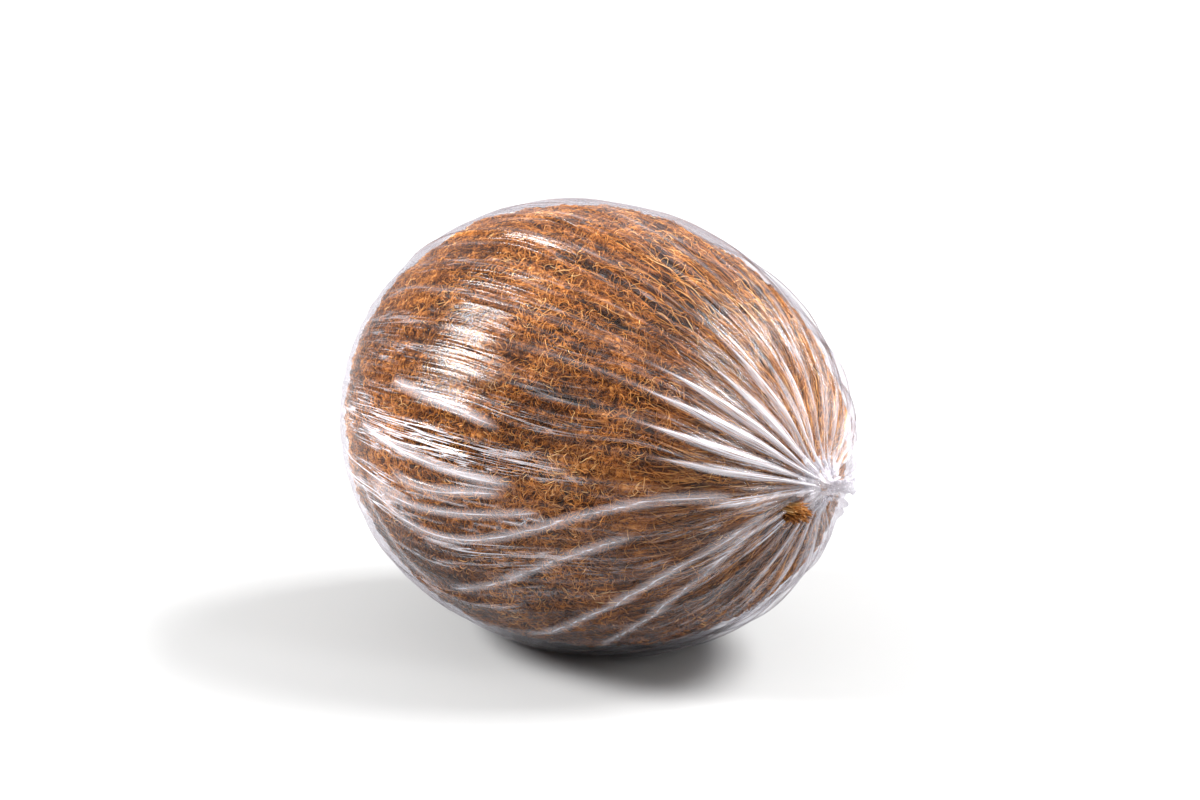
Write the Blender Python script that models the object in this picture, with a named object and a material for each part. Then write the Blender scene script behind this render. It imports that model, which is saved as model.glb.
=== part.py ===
"""A husked brown coconut, lying on its side in a tight wrap of thin clear film.

The nut's long axis is +X, toward the stem end, where the film is gathered.
The nut is one grown piece: a slightly egg-shaped body covered in matted coir
that lies in lengthwise strands, with a broken tuft of coir at the stem end.
The film is one piece: a thin shell with folds that run in to the gather, a
crumpled rosette, a short tail, and a small tear where the tuft pokes out.
"""
import math
import random

import bpy
from mathutils import Vector, noise

MM = 0.001

# Nut body, in millimetres: an egg turned about the X axis.
NUT_HALF_LENGTH = 65.8
NUT_HALF_WIDTH = 53.7
EGG_TAPER = -0.045
LOBE_COUNT = 3
LOBE_DEPTH = 0.009
LOBE_PHASE = math.radians(90.0)

# Coir relief on the nut, in millimetres above the smooth egg.
RELIEF_TOP = 0.55
RELIEF_BOTTOM = -2.4
RELIEF_MEAN = -0.55
STRAND_HEIGHT = 0.72
CLUMP_HEIGHT = 1.3
CLUMP_SIZE = 10.0
FELT_HEIGHT = 1.6
FELT_SIZE = 3.1
PATCH_LENGTH = 26.0
PATCH_WIDTH = 9.0
COMBED_FROM = math.radians(100.0)
COMBED_TO = math.radians(45.0)
STEM_CALM_RADIUS = 12.0
CRACK_DEPTH = 1.4

# Film, in millimetres.
FILM_CLEARANCE = 1.0
FILM_WALL = 0.6
FOLD_COUNT = 34
FOLD_SEED = 20
FOLD_PHASE = 0.5
FOLD_HALF_WIDTH = 1.7
FOLD_CROWDING = 0.42
FOLD_HEIGHTS = (0.4, 1.5)
FOLD_WANDER = math.radians(1.7)
FOLD_WAVE = 1.6
FOLD_JITTER = 0.25
FOLD_REACHES = (math.radians(75.0), math.radians(170.0))
FOLD_RISE = (math.radians(4.0), math.radians(26.0))
FOLD_START_SHARE = 0.55
FOLD_END_SHARE = 0.12
INNER_FOLD_SHARE = 0.45

# Where the nut rests: how far the round underside is pressed flat.
FLAT_DEPTH = 1.5
NUT_OVER_FILM = 0.4

# Rows from the stem end to the far end, in degrees from the +X axis.
FILM_FINE_ROWS = (
    7.0, 10.0, 13.4, 17.5, 22.5, 28.5, 34.5, 40.5, 47.0, 53.5, 60.0, 66.5, 73.0,
    79.5, 86.0, 92.5, 99.0, 105.5, 112.0, 119.0, 126.5, 134.5, 143.0, 152.0,
)
FILM_STAR_ROWS = (5.6, 4.2)
FILM_FAR_ROWS = (161.0, 170.0)
NUT_COLUMNS = 96
NUT_ROWS = 33
POLE_MARGIN = 0.75

# Gathered end of the film: ring height above the egg and ring size.
STAR_HEIGHTS = {10.0: 0.5, 7.0: 1.3, 5.6: 2.0, 4.2: 2.9}
STAR_RUFFLE = {10.0: 0.4, 7.0: 0.85, 5.6: 1.0, 4.2: 0.7}
TAIL_RINGS = ((3.9, 2.0), (5.8, 1.4), (8.2, 1.25), (10.8, 1.35), (12.9, 1.75), (13.7, 1.3))
TAIL_RISE = 0.12
TAIL_TWIST = math.radians(17.0)
TAIL_FLATNESS = 0.72
TAIL_WOBBLE = 0.14
TIP_BULGE = 0.2

# Tuft of broken coir beside the gather, and the tear round it.
TUFT_ANGLE = math.radians(215.0)
TUFT_ROW = 10.0
TUFT_STRANDS = 10
TUFT_SEED = 5
TUFT_LENGTH = 6.2
TUFT_SPREAD = 0.95
TUFT_LEAN = (0.0, 0.02, 0.18)
STRAND_SINK = 3.0
STRAND_SIDES = 6
STRAND_STEPS = 4
STRAND_TAPER = 0.35
STRAND_END_BULGE = 0.3
STRAND_WIDTHS = (1.15, 1.5)
GOLDEN_TURN = 2.4
TEAR_ROWS = (7.0, 13.4)
TEAR_HALF_ANGLE = math.radians(19.5)

COIR_COLOUR = (0.30, 0.115, 0.040, 1.0)
FILM_COLOUR = (0.90, 0.90, 0.93, 1.0)
FILM_ALPHA = 0.3


def clear_scene():
    """Starts from an empty file."""
    for item in list(bpy.data.objects):
        bpy.data.objects.remove(item, do_unlink=True)
    for mesh in list(bpy.data.meshes):
        bpy.data.meshes.remove(mesh)


def smooth(low, high, value):
    """Goes softly from 0 at low to 1 at high."""
    share = min(1.0, max(0.0, (value - low) / (high - low)))
    return share * share * (3.0 - 2.0 * share)


def ring_radius(turn):
    """Distance of the smooth egg from its axis at an angle from +X."""
    return NUT_HALF_WIDTH * math.sin(turn) * (1.0 + EGG_TAPER * math.cos(turn))


def egg_point(turn, around, height):
    """A point above the smooth egg, measured from the nut's middle."""
    lobes = LOBE_DEPTH * math.sin(turn) ** 2 * math.cos(LOBE_COUNT * (around - LOBE_PHASE))
    radius = ring_radius(turn) * (1.0 + lobes)
    slope = NUT_HALF_WIDTH * (math.cos(turn) + EGG_TAPER * math.cos(2.0 * turn))
    normal_x = slope
    normal_out = NUT_HALF_LENGTH * math.sin(turn)
    size = math.hypot(normal_x, normal_out)
    x = NUT_HALF_LENGTH * math.cos(turn) + height * normal_x / size
    out = radius + height * normal_out / size
    return Vector((x, out * math.cos(around), out * math.sin(around)))


def axis_height():
    """Height of the nut's axis above what it rests on."""
    under = egg_point(math.radians(90.0), math.radians(270.0), FILM_CLEARANCE + FILM_WALL)
    return -under.z - FLAT_DEPTH


AXIS_HEIGHT = axis_height()


def rest_level(point, level):
    """Lifts a point that would be below a level, for the flat spot."""
    z = max(point.z + AXIS_HEIGHT, level)
    return Vector((point.x, point.y, z))


class Shell:
    """Vertices and triangles of one closed body as it is put together."""

    def __init__(self):
        self.points = []
        self.faces = []

    def ring(self, points):
        first = len(self.points)
        self.points.extend(points)
        return list(range(first, len(self.points)))

    def span(self, near, far, skip=()):
        """Joins two rings; the far one may have a third of the near one's points."""
        count = len(far)
        step = len(near) // count
        for k in range(count):
            a, b = far[k], far[(k + 1) % count]
            if step == 1:
                if k in skip:
                    continue
                c, d = near[k], near[(k + 1) % count]
                self.faces += [(c, b, d), (c, a, b)]
                continue
            side = [near[(k * step + s) % len(near)] for s in range(step + 1)]
            middle = step // 2 + 1
            for s in range(middle):
                self.faces.append((side[s], a, side[s + 1]))
            self.faces.append((side[middle], a, b))
            for s in range(middle, step):
                self.faces.append((side[s], b, side[s + 1]))

    def cap(self, ring, tip):
        """Closes a ring onto one point."""
        top = self.ring([tip])[0]
        count = len(ring)
        for k in range(count):
            self.faces.append((ring[k], top, ring[(k + 1) % count]))

    def turned(self):
        self.faces = [(a, c, b) for a, b, c in self.faces]


def mesh_object(name, points, faces, material):
    """Makes a named, smooth-shaded object from points in millimetres."""
    mesh = bpy.data.meshes.new(name)
    mesh.from_pydata([tuple(p * MM) for p in points], [], faces)
    mesh.materials.append(material)
    for polygon in mesh.polygons:
        polygon.use_smooth = True
    mesh.update()
    item = bpy.data.objects.new(name, mesh)
    bpy.context.scene.collection.objects.link(item)
    return item


def plain_material(name, colour, roughness, alpha=1.0):
    """A Principled material with one colour."""
    material = bpy.data.materials.new(name)
    material.use_nodes = True
    shader = material.node_tree.nodes["Principled BSDF"]
    shader.inputs["Base Color"].default_value = colour
    shader.inputs["Roughness"].default_value = roughness
    shader.inputs["Metallic"].default_value = 0.0
    shader.inputs["Alpha"].default_value = alpha
    return material


def coir_relief(turn, around):
    """Height of the coir above the smooth egg: strands, felted clumps and cracks."""
    radius = ring_radius(turn)
    x = NUT_HALF_LENGTH * math.cos(turn)
    y, z = radius * math.cos(around), radius * math.sin(around)
    place = Vector((x, y, z))
    clump = noise.noise(place / CLUMP_SIZE)
    felt = noise.noise(place / FELT_SIZE)
    patch = 0.55 + noise.noise(Vector((x / PATCH_LENGTH, y / PATCH_WIDTH, z / PATCH_WIDTH)))
    comb = math.cos(0.5 * NUT_COLUMNS * around)
    combed_end = smooth(COMBED_FROM, COMBED_TO, turn)
    height = RELIEF_MEAN + CLUMP_HEIGHT * clump
    height += STRAND_HEIGHT * comb * patch * (0.7 + combed_end) * smooth(0.0, STEM_CALM_RADIUS, radius)
    height += FELT_HEIGHT * felt * (1.0 - 0.6 * combed_end)
    height -= CRACK_DEPTH * crack(turn, around)
    return max(RELIEF_BOTTOM, min(RELIEF_TOP, height))


# Lengthwise cracks in the coir: middle row, middle angle, half length, half width.
CRACKS = (
    (62.0, 74.0, 17.0, 1.9),
    (74.0, 61.0, 14.0, 2.0),
    (58.0, 96.0, 15.0, 1.8),
    (82.0, 83.0, 12.0, 1.9),
    (47.0, 288.0, 16.0, 2.2),
    (70.0, 152.0, 15.0, 2.0),
)


def crack(turn, around):
    """How deep a lengthwise crack is here, from 0 to 1."""
    deepest = 0.0
    for row, angle, half_length, half_width in CRACKS:
        along = (math.degrees(turn) - row) / half_length
        across = (math.degrees(around) - angle + 180.0) % 360.0 - 180.0
        across /= half_width
        if abs(along) < 1.0 and abs(across) < 1.0:
            deepest = max(deepest, (1.0 - along * along) * (1.0 - abs(across)))
    return deepest


def nut_point(turn, around):
    point = egg_point(turn, around, coir_relief(turn, around))
    return rest_level(point, FILM_WALL + NUT_OVER_FILM)


def nut_body(material):
    """The nut's body: rings of points from the stem end to the far end."""
    shell = Shell()
    rings = []
    for row in range(NUT_ROWS):
        turn = math.pi * (row + POLE_MARGIN) / (NUT_ROWS - 1 + 2.0 * POLE_MARGIN)
        columns = NUT_COLUMNS
        if row in (0, NUT_ROWS - 1):
            columns = NUT_COLUMNS // 3
        step = 2.0 * math.pi / columns
        rings.append(shell.ring([nut_point(turn, step * k) for k in range(columns)]))
    for row in range(1, NUT_ROWS - 2):
        shell.span(rings[row], rings[row + 1])
    shell.span(rings[-2], rings[-1])
    shell.cap(rings[-1], nut_point(math.pi, 0.0))
    stem = Shell()
    stem.points = shell.points
    stem.span(rings[1], rings[0])
    stem.cap(rings[0], nut_point(0.0, 0.0))
    stem.turned()
    return mesh_object("coconut", shell.points, shell.faces + stem.faces, material)


def strand(name, root, direction, length, bend, thickness, material):
    """One short tapered strand of coir with a blunt end, sunk into the nut."""
    shell = Shell()
    side = direction.cross(Vector((0.0, 0.0, 1.0))).normalized()
    other = side.cross(direction).normalized()
    rings = []
    for step in range(STRAND_STEPS + 1):
        share = step / STRAND_STEPS
        centre = root + direction * (length * share) + bend * (share * share)
        half = 0.5 * thickness * (1.0 - STRAND_TAPER * share)
        points = []
        for k in range(STRAND_SIDES):
            angle = 2.0 * math.pi * k / STRAND_SIDES
            points.append(centre + side * (half * math.cos(angle)) + other * (half * math.sin(angle)))
        rings.append(shell.ring(points))
    for near, far in zip(rings, rings[1:]):
        shell.span(near, far)
    shell.cap(rings[-1], root + direction * (length + STRAND_END_BULGE) + bend)
    foot = Shell()
    foot.points = shell.points
    foot.cap(rings[0], root - direction * STRAND_END_BULGE)
    foot.turned()
    return mesh_object(name, shell.points, shell.faces + foot.faces, material)


def add_tuft(nut, material):
    """Fuses the broken tuft of coir to the nut at the stem end."""
    rng = random.Random(TUFT_SEED)
    turn = math.radians(TUFT_ROW)
    base = rest_level(egg_point(turn, TUFT_ANGLE, 0.0), 0.0)
    above = rest_level(egg_point(turn, TUFT_ANGLE, 1.0), 0.0)
    outward = (above - base + Vector(TUFT_LEAN)).normalized()
    side = outward.cross(Vector((0.0, 0.0, 1.0))).normalized()
    other = outward.cross(side).normalized()
    group = bpy.data.collections.new("tuft strands")
    bpy.context.scene.collection.children.link(group)
    pieces = []
    for k in range(TUFT_STRANDS):
        angle = GOLDEN_TURN * k
        reach = TUFT_SPREAD * math.sqrt((k + 0.3) / TUFT_STRANDS)
        shift = side * (reach * math.cos(angle)) + other * (reach * math.sin(angle))
        direction = (outward + shift * rng.uniform(-0.02, 0.10)).normalized()
        length = STRAND_SINK + TUFT_LENGTH * rng.uniform(0.72, 1.0)
        bend = other * rng.uniform(-0.3, 0.5) + side * rng.uniform(-0.3, 0.3)
        root = base + shift - outward * STRAND_SINK
        width = rng.uniform(*STRAND_WIDTHS)
        piece = strand(f"strand_{k}", root, direction, length, bend, width, material)
        bpy.context.scene.collection.objects.unlink(piece)
        group.objects.link(piece)
        pieces.append(piece)
    join = nut.modifiers.new("tuft", "BOOLEAN")
    join.operation = "UNION"
    join.operand_type = "COLLECTION"
    join.collection = group
    join.solver = "MANIFOLD"
    bpy.context.view_layer.update()
    bpy.context.view_layer.objects.active = nut
    bpy.ops.object.modifier_apply(modifier=join.name)
    for piece in pieces:
        bpy.data.objects.remove(piece, do_unlink=True)
    bpy.data.collections.remove(group)


def fold_list():
    """The film's folds: angle, height, how far back, ruffle at the gather and wander."""
    rng = random.Random(FOLD_SEED)
    folds = []
    for k in range(FOLD_COUNT):
        place = k + FOLD_PHASE + rng.uniform(-FOLD_JITTER, FOLD_JITTER)
        angle = 2.0 * math.pi * place / FOLD_COUNT
        height = rng.uniform(*FOLD_HEIGHTS)
        reach = rng.uniform(*FOLD_REACHES)
        ruffle = rng.uniform(0.45, 1.0) * (1.0 if k % 2 else -1.0)
        wander = FOLD_WANDER * rng.uniform(-1.0, 1.0)
        folds.append((angle, height, reach, ruffle, wander))
    return folds


def fold_angle(fold, turn):
    """Where a fold lies round the nut on a row: it bends a little on its way back."""
    return fold[0] + fold[4] * math.sin(FOLD_WAVE * turn)


def fold_height(fold, turn):
    """Height of a fold's crest above the film between the folds."""
    height, reach = fold[1], fold[2]
    rise = smooth(FOLD_RISE[0], FOLD_RISE[1], turn)
    fall = 1.0 - smooth(0.45 * reach, reach, turn)
    start = FOLD_START_SHARE + (1.0 - FOLD_START_SHARE) * rise
    return height * start * (FOLD_END_SHARE + (1.0 - FOLD_END_SHARE) * fall)


def gather_height(row, fold):
    """Height of the crumpled rosette on the rows nearest the gather."""
    return STAR_HEIGHTS.get(row, 0.0) + STAR_RUFFLE.get(row, 0.0) * fold[3]


def film_ring(row, folds, inner):
    """Points of one fine row: the two feet and the crest of each fold."""
    turn = math.radians(row)
    radius = ring_radius(turn)
    points = []
    base = FILM_CLEARANCE if inner else FILM_CLEARANCE + FILM_WALL
    level = FILM_WALL if inner else 0.0
    angles = [fold_angle(fold, turn) for fold in folds]
    for k, fold in enumerate(folds):
        before = angles[k - 1] - (2.0 * math.pi if k == 0 else 0.0)
        after = angles[(k + 1) % len(folds)] + (2.0 * math.pi if k == len(folds) - 1 else 0.0)
        room = FOLD_CROWDING * min(angles[k] - before, after - angles[k])
        half = min(FOLD_HALF_WIDTH / radius, room)
        crest = fold_height(fold, turn) * (INNER_FOLD_SHARE if inner else 1.0)
        gather = 0.0 if inner else gather_height(row, fold)
        for offset, height in ((-half, 0.0), (0.0, crest), (half, 0.0)):
            point = egg_point(turn, angles[k] + offset, base + height + gather)
            points.append(rest_level(point, level))
    return points


def coarse_ring(row, folds, inner):
    """Points of a coarse row: one for each fold."""
    turn = math.radians(row)
    base = FILM_CLEARANCE if inner else FILM_CLEARANCE + FILM_WALL
    points = []
    for fold in folds:
        height = base + (0.0 if inner else gather_height(row, fold))
        points.append(rest_level(egg_point(turn, fold_angle(fold, turn), height), 0.0))
    return points


def tail_ring(height, radius, index, folds):
    """One ring of the short twisted tail that stands out from the gather."""
    centre = egg_point(0.0, 0.0, height)
    points = []
    for k, fold in enumerate(folds):
        angle = fold[0] + TAIL_TWIST * index
        wobble = 1.0 + (TAIL_WOBBLE if k % 2 else -TAIL_WOBBLE)
        y = radius * wobble * TAIL_FLATNESS * math.cos(angle)
        z = radius * wobble * math.sin(angle) + TAIL_RISE * height
        points.append(rest_level(centre + Vector((0.0, y, z)), 0.0))
    return points


def torn(row, following, folds):
    """Columns of the tear between two fine rows, if it crosses them."""
    if row < TEAR_ROWS[0] or following > TEAR_ROWS[1]:
        return set()
    columns = set()
    for k, fold in enumerate(folds):
        away = (fold[0] - TUFT_ANGLE + math.pi) % (2.0 * math.pi) - math.pi
        if abs(away) < TEAR_HALF_ANGLE:
            columns.update((3 * k, 3 * k + 1, 3 * k + 2))
    columns.discard(max(columns))
    return columns


def film_skin(folds, inner):
    """One side of the film, and its fine rings, which the tear's edge joins."""
    shell = Shell()
    fine = [shell.ring(film_ring(row, folds, inner)) for row in FILM_FINE_ROWS]
    for index in range(len(fine) - 1):
        skip = torn(FILM_FINE_ROWS[index], FILM_FINE_ROWS[index + 1], folds)
        shell.span(fine[index], fine[index + 1], skip)
    last = fine[-1]
    for row in FILM_FAR_ROWS:
        ring = shell.ring(coarse_ring(row, folds, inner))
        shell.span(last, ring)
        last = ring
    base = FILM_CLEARANCE if inner else FILM_CLEARANCE + FILM_WALL
    shell.cap(last, rest_level(egg_point(math.pi, 0.0, base), 0.0))
    stem = Shell()
    stem.points = shell.points
    last = fine[0]
    for row in FILM_STAR_ROWS:
        ring = stem.ring(coarse_ring(row, folds, inner))
        stem.span(last, ring)
        last = ring
    tip = base
    if not inner:
        sparse = folds[::2]
        merged = stem.ring(tail_ring(TAIL_RINGS[0][0], TAIL_RINGS[0][1], 0, folds))
        stem.span(last, merged)
        last = merged
        for index, (height, radius) in enumerate(TAIL_RINGS[1:]):
            ring = stem.ring(tail_ring(height, radius, index + 1, sparse))
            if index == 0:
                halve(stem, last, ring)
            else:
                stem.span(last, ring)
            last = ring
        tip = TAIL_RINGS[-1][0] + TIP_BULGE
    centre = egg_point(0.0, 0.0, tip)
    if not inner:
        centre.z += TAIL_RISE * tip
    stem.cap(last, rest_level(centre, 0.0))
    stem.turned()
    return shell, shell.faces + stem.faces, fine


def halve(shell, near, far):
    """Joins a ring to one with half as many points."""
    count = len(far)
    for k in range(count):
        a, b = far[k], far[(k + 1) % count]
        side = [near[(2 * k + s) % len(near)] for s in range(3)]
        shell.faces += [(side[0], a, side[1]), (side[1], a, b), (side[1], b, side[2])]


def tear_edge(folds, fine, offset):
    """Triangles across the film's wall, all the way round the tear."""
    rows = [i for i, row in enumerate(FILM_FINE_ROWS) if TEAR_ROWS[0] <= row <= TEAR_ROWS[1]]
    columns = sorted(torn(FILM_FINE_ROWS[rows[0]], FILM_FINE_ROWS[rows[1]], folds))
    columns.append(columns[-1] + 1)
    outline = [fine[rows[0]][c] for c in columns]
    outline += [fine[r][columns[-1]] for r in rows[1:]]
    outline += [fine[rows[-1]][c] for c in reversed(columns[:-1])]
    outline += [fine[r][columns[0]] for r in reversed(rows[1:-1])]
    faces = []
    for k, a in enumerate(outline):
        b = outline[(k + 1) % len(outline)]
        faces += [(a, b + offset, b), (a, a + offset, b + offset)]
    return faces


def film_wrap(material):
    """The film: an outer and an inner side, joined round the tear."""
    folds = fold_list()
    outer, outer_faces, fine = film_skin(folds, inner=False)
    inner, inner_faces, _ = film_skin(folds, inner=True)
    offset = len(outer.points)
    points = outer.points + inner.points
    faces = list(outer_faces)
    faces += [(a + offset, c + offset, b + offset) for a, b, c in inner_faces]
    faces += tear_edge(folds, fine, offset)
    return mesh_object("film_wrap", points, faces, material)


def centre_on_origin(items):
    """Moves everything along X and Y so that its box stands over the origin."""
    corners = [v.co for item in items for v in item.data.vertices]
    middle_x = 0.5 * (min(c.x for c in corners) + max(c.x for c in corners))
    middle_y = 0.5 * (min(c.y for c in corners) + max(c.y for c in corners))
    for item in items:
        for vertex in item.data.vertices:
            vertex.co.x -= middle_x
            vertex.co.y -= middle_y
        item.data.update()
    return middle_x, middle_y


def main():
    clear_scene()
    coir = plain_material("coir", COIR_COLOUR, 0.9)
    film = plain_material("clear_film", FILM_COLOUR, 0.12, FILM_ALPHA)
    nut = nut_body(coir)
    add_tuft(nut, coir)
    wrap = film_wrap(film)
    shift = centre_on_origin([nut, wrap])
    print("middle moved by", [round(value / MM, 3) for value in shift], "mm")


main()
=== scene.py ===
"""A husked coconut in tight clear film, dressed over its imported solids."""

import math
import random

import bmesh
import bpy
import numpy as np
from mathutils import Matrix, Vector


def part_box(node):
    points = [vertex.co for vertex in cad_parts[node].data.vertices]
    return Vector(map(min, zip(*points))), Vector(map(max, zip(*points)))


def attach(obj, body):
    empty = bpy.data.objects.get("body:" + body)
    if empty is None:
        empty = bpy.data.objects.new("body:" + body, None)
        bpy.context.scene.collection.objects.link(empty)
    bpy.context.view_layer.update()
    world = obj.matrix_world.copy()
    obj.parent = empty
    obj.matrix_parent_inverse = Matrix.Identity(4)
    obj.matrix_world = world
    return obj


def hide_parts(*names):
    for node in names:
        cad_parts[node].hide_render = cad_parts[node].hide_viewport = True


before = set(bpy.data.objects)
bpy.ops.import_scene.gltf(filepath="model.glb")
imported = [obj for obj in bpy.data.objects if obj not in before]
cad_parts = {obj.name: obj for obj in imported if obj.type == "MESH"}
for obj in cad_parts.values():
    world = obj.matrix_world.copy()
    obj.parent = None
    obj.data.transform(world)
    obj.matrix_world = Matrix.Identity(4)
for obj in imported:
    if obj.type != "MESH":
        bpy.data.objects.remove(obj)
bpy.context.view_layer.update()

MM = 0.001
TAU = 2.0 * math.pi

# The smooth egg under everything, as in the part's source, in millimetres.
NUT_HALF_LENGTH = 65.8
NUT_HALF_WIDTH = 53.7
EGG_TAPER = -0.045
LOBE_COUNT = 3
LOBE_DEPTH = 0.009
LOBE_PHASE = math.radians(90.0)
FILM_CLEARANCE = 1.0
FILM_WALL = 0.6
FLAT_DEPTH = 1.5

# The film's folds, as in the part's source.
FOLD_COUNT = 34
FOLD_SEED = 20
FOLD_PHASE = 0.5
FOLD_HALF_WIDTH = 1.7
FOLD_CROWDING = 0.42
FOLD_HEIGHTS = (0.4, 1.5)
FOLD_WANDER = math.radians(1.7)
FOLD_WAVE = 1.6
FOLD_JITTER = 0.25
FOLD_REACHES = (math.radians(75.0), math.radians(170.0))
FOLD_RISE = (math.radians(4.0), math.radians(26.0))
FOLD_START_SHARE = 0.55
FOLD_END_SHARE = 0.12

# The tuft and the tear round it, as in the part's source.
TUFT_ANGLE = math.radians(215.0)
TUFT_TURN = math.radians(10.0)
TUFT_LENGTH = 6.2
TUFT_LEAN = np.array((0.0, 0.02, 0.18))

# Camera: where it stands round the nut's middle, and its lens.
CAMERA_AROUND = math.radians(39.4)
CAMERA_ABOVE = math.radians(17.3)
CAMERA_DISTANCE = 1.3
CAMERA_LENS = 159.3
CAMERA_SENSOR = 36.0
AIM_UP = 0.0071
AIM_RIGHT = 0.0008


def smooth(low, high, value):
    """Goes softly from 0 at low to 1 at high, for arrays."""
    share = np.clip((value - low) / (high - low), 0.0, 1.0)
    return share * share * (3.0 - 2.0 * share)


def field(points, size, seed):
    """Smooth seeded noise from -1 to 1 at points, with cells of a size."""
    cells = points / size + 137.31
    low = np.floor(cells).astype(np.int64)
    part = cells - low
    ease = part * part * (3.0 - 2.0 * part)
    total = np.zeros(points.shape[:-1])
    for corner in np.ndindex(2, 2, 2):
        place = low + np.array(corner)
        mixed = place[..., 0] * 73856093 ^ place[..., 1] * 19349663 ^ place[..., 2] * 83492791
        mixed = (mixed ^ (seed * 2654435761)) & 0x7FFFFFFF
        mixed = ((mixed ^ (mixed >> 13)) * 1274126177) & 0x7FFFFFFF
        mixed = (mixed ^ (mixed >> 16)) & 0xFFFF
        weight = np.ones(total.shape)
        for axis in range(3):
            weight = weight * (ease[..., axis] if corner[axis] else 1.0 - ease[..., axis])
        total += weight * (mixed / 32767.5 - 1.0)
    return total


def ring_radius(turn):
    """The egg's radius at a turn, which is 0 at the stem end."""
    return NUT_HALF_WIDTH * np.sin(turn) * (1.0 + EGG_TAPER * np.cos(turn))


def egg_normal(turn, around):
    """The smooth egg's outward direction."""
    along = NUT_HALF_WIDTH * (np.cos(turn) + EGG_TAPER * np.cos(2.0 * turn))
    out = NUT_HALF_LENGTH * np.sin(turn)
    size = np.hypot(along, out)
    along, out = along / size, out / size
    return np.stack([along + 0.0 * around, out * np.cos(around), out * np.sin(around)], -1)


def egg(turn, around, height):
    """Points above the smooth egg, in millimetres from the nut's middle."""
    turn, around, height = np.broadcast_arrays(turn, around, height)
    lobes = LOBE_DEPTH * np.sin(turn) ** 2 * np.cos(LOBE_COUNT * (around - LOBE_PHASE))
    radius = ring_radius(turn) * (1.0 + lobes)
    base = np.stack([NUT_HALF_LENGTH * np.cos(turn), radius * np.cos(around), radius * np.sin(around)], -1)
    return base + height[..., None] * egg_normal(turn, around)


UNDER = egg(np.array(0.5 * math.pi), np.array(1.5 * math.pi), np.array(FILM_CLEARANCE + FILM_WALL))
AXIS_HEIGHT = -float(UNDER[2]) - FLAT_DEPTH
FAR_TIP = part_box("film_wrap")[0][0] / MM
NUT_X = FAR_TIP + NUT_HALF_LENGTH + FILM_CLEARANCE + FILM_WALL
NUT_MIDDLE = np.array((NUT_X, 0.0, AXIS_HEIGHT))


def placed(points, level):
    """Points of the nut's own frame as metres in the part's frame, none below a level."""
    world = points + NUT_MIDDLE
    world[..., 2] = np.maximum(world[..., 2], level)
    return world * MM


def quad_grid(rows, columns):
    """Corner numbers of a grid that closes on itself sideways."""
    row = np.arange(rows - 1)[:, None]
    column = np.arange(columns)[None, :]
    following = (column + 1) % columns
    a = row * columns + column
    b = row * columns + following
    return np.stack([a, a + columns, b + columns, b], -1).reshape(-1, 4)


def linked(name, data):
    """A new object in the scene."""
    item = bpy.data.objects.new(name, data)
    bpy.context.scene.collection.objects.link(item)
    return item


def make_mesh(name, points, faces, material, level, uv, values):
    """A smooth-shaded object from arrays, with its map and named values."""
    mesh = bpy.data.meshes.new(name)
    mesh.from_pydata(placed(points, level).tolist(), [], [tuple(f) for f in faces])
    mesh.polygons.foreach_set("use_smooth", [True] * len(mesh.polygons))
    for key, data in values.items():
        layer = mesh.attributes.new(key, "FLOAT", "POINT")
        layer.data.foreach_set("value", np.asarray(data, dtype=np.float32).ravel())
    corners = np.zeros(len(mesh.loops), dtype=np.int32)
    mesh.loops.foreach_get("vertex_index", corners)
    layer = mesh.uv_layers.new(name="OFBake")
    layer.data.foreach_set("uv", uv(corners, mesh).astype(np.float32).ravel())
    mesh.materials.append(material)
    mesh.update()
    return linked(name, mesh)


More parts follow.
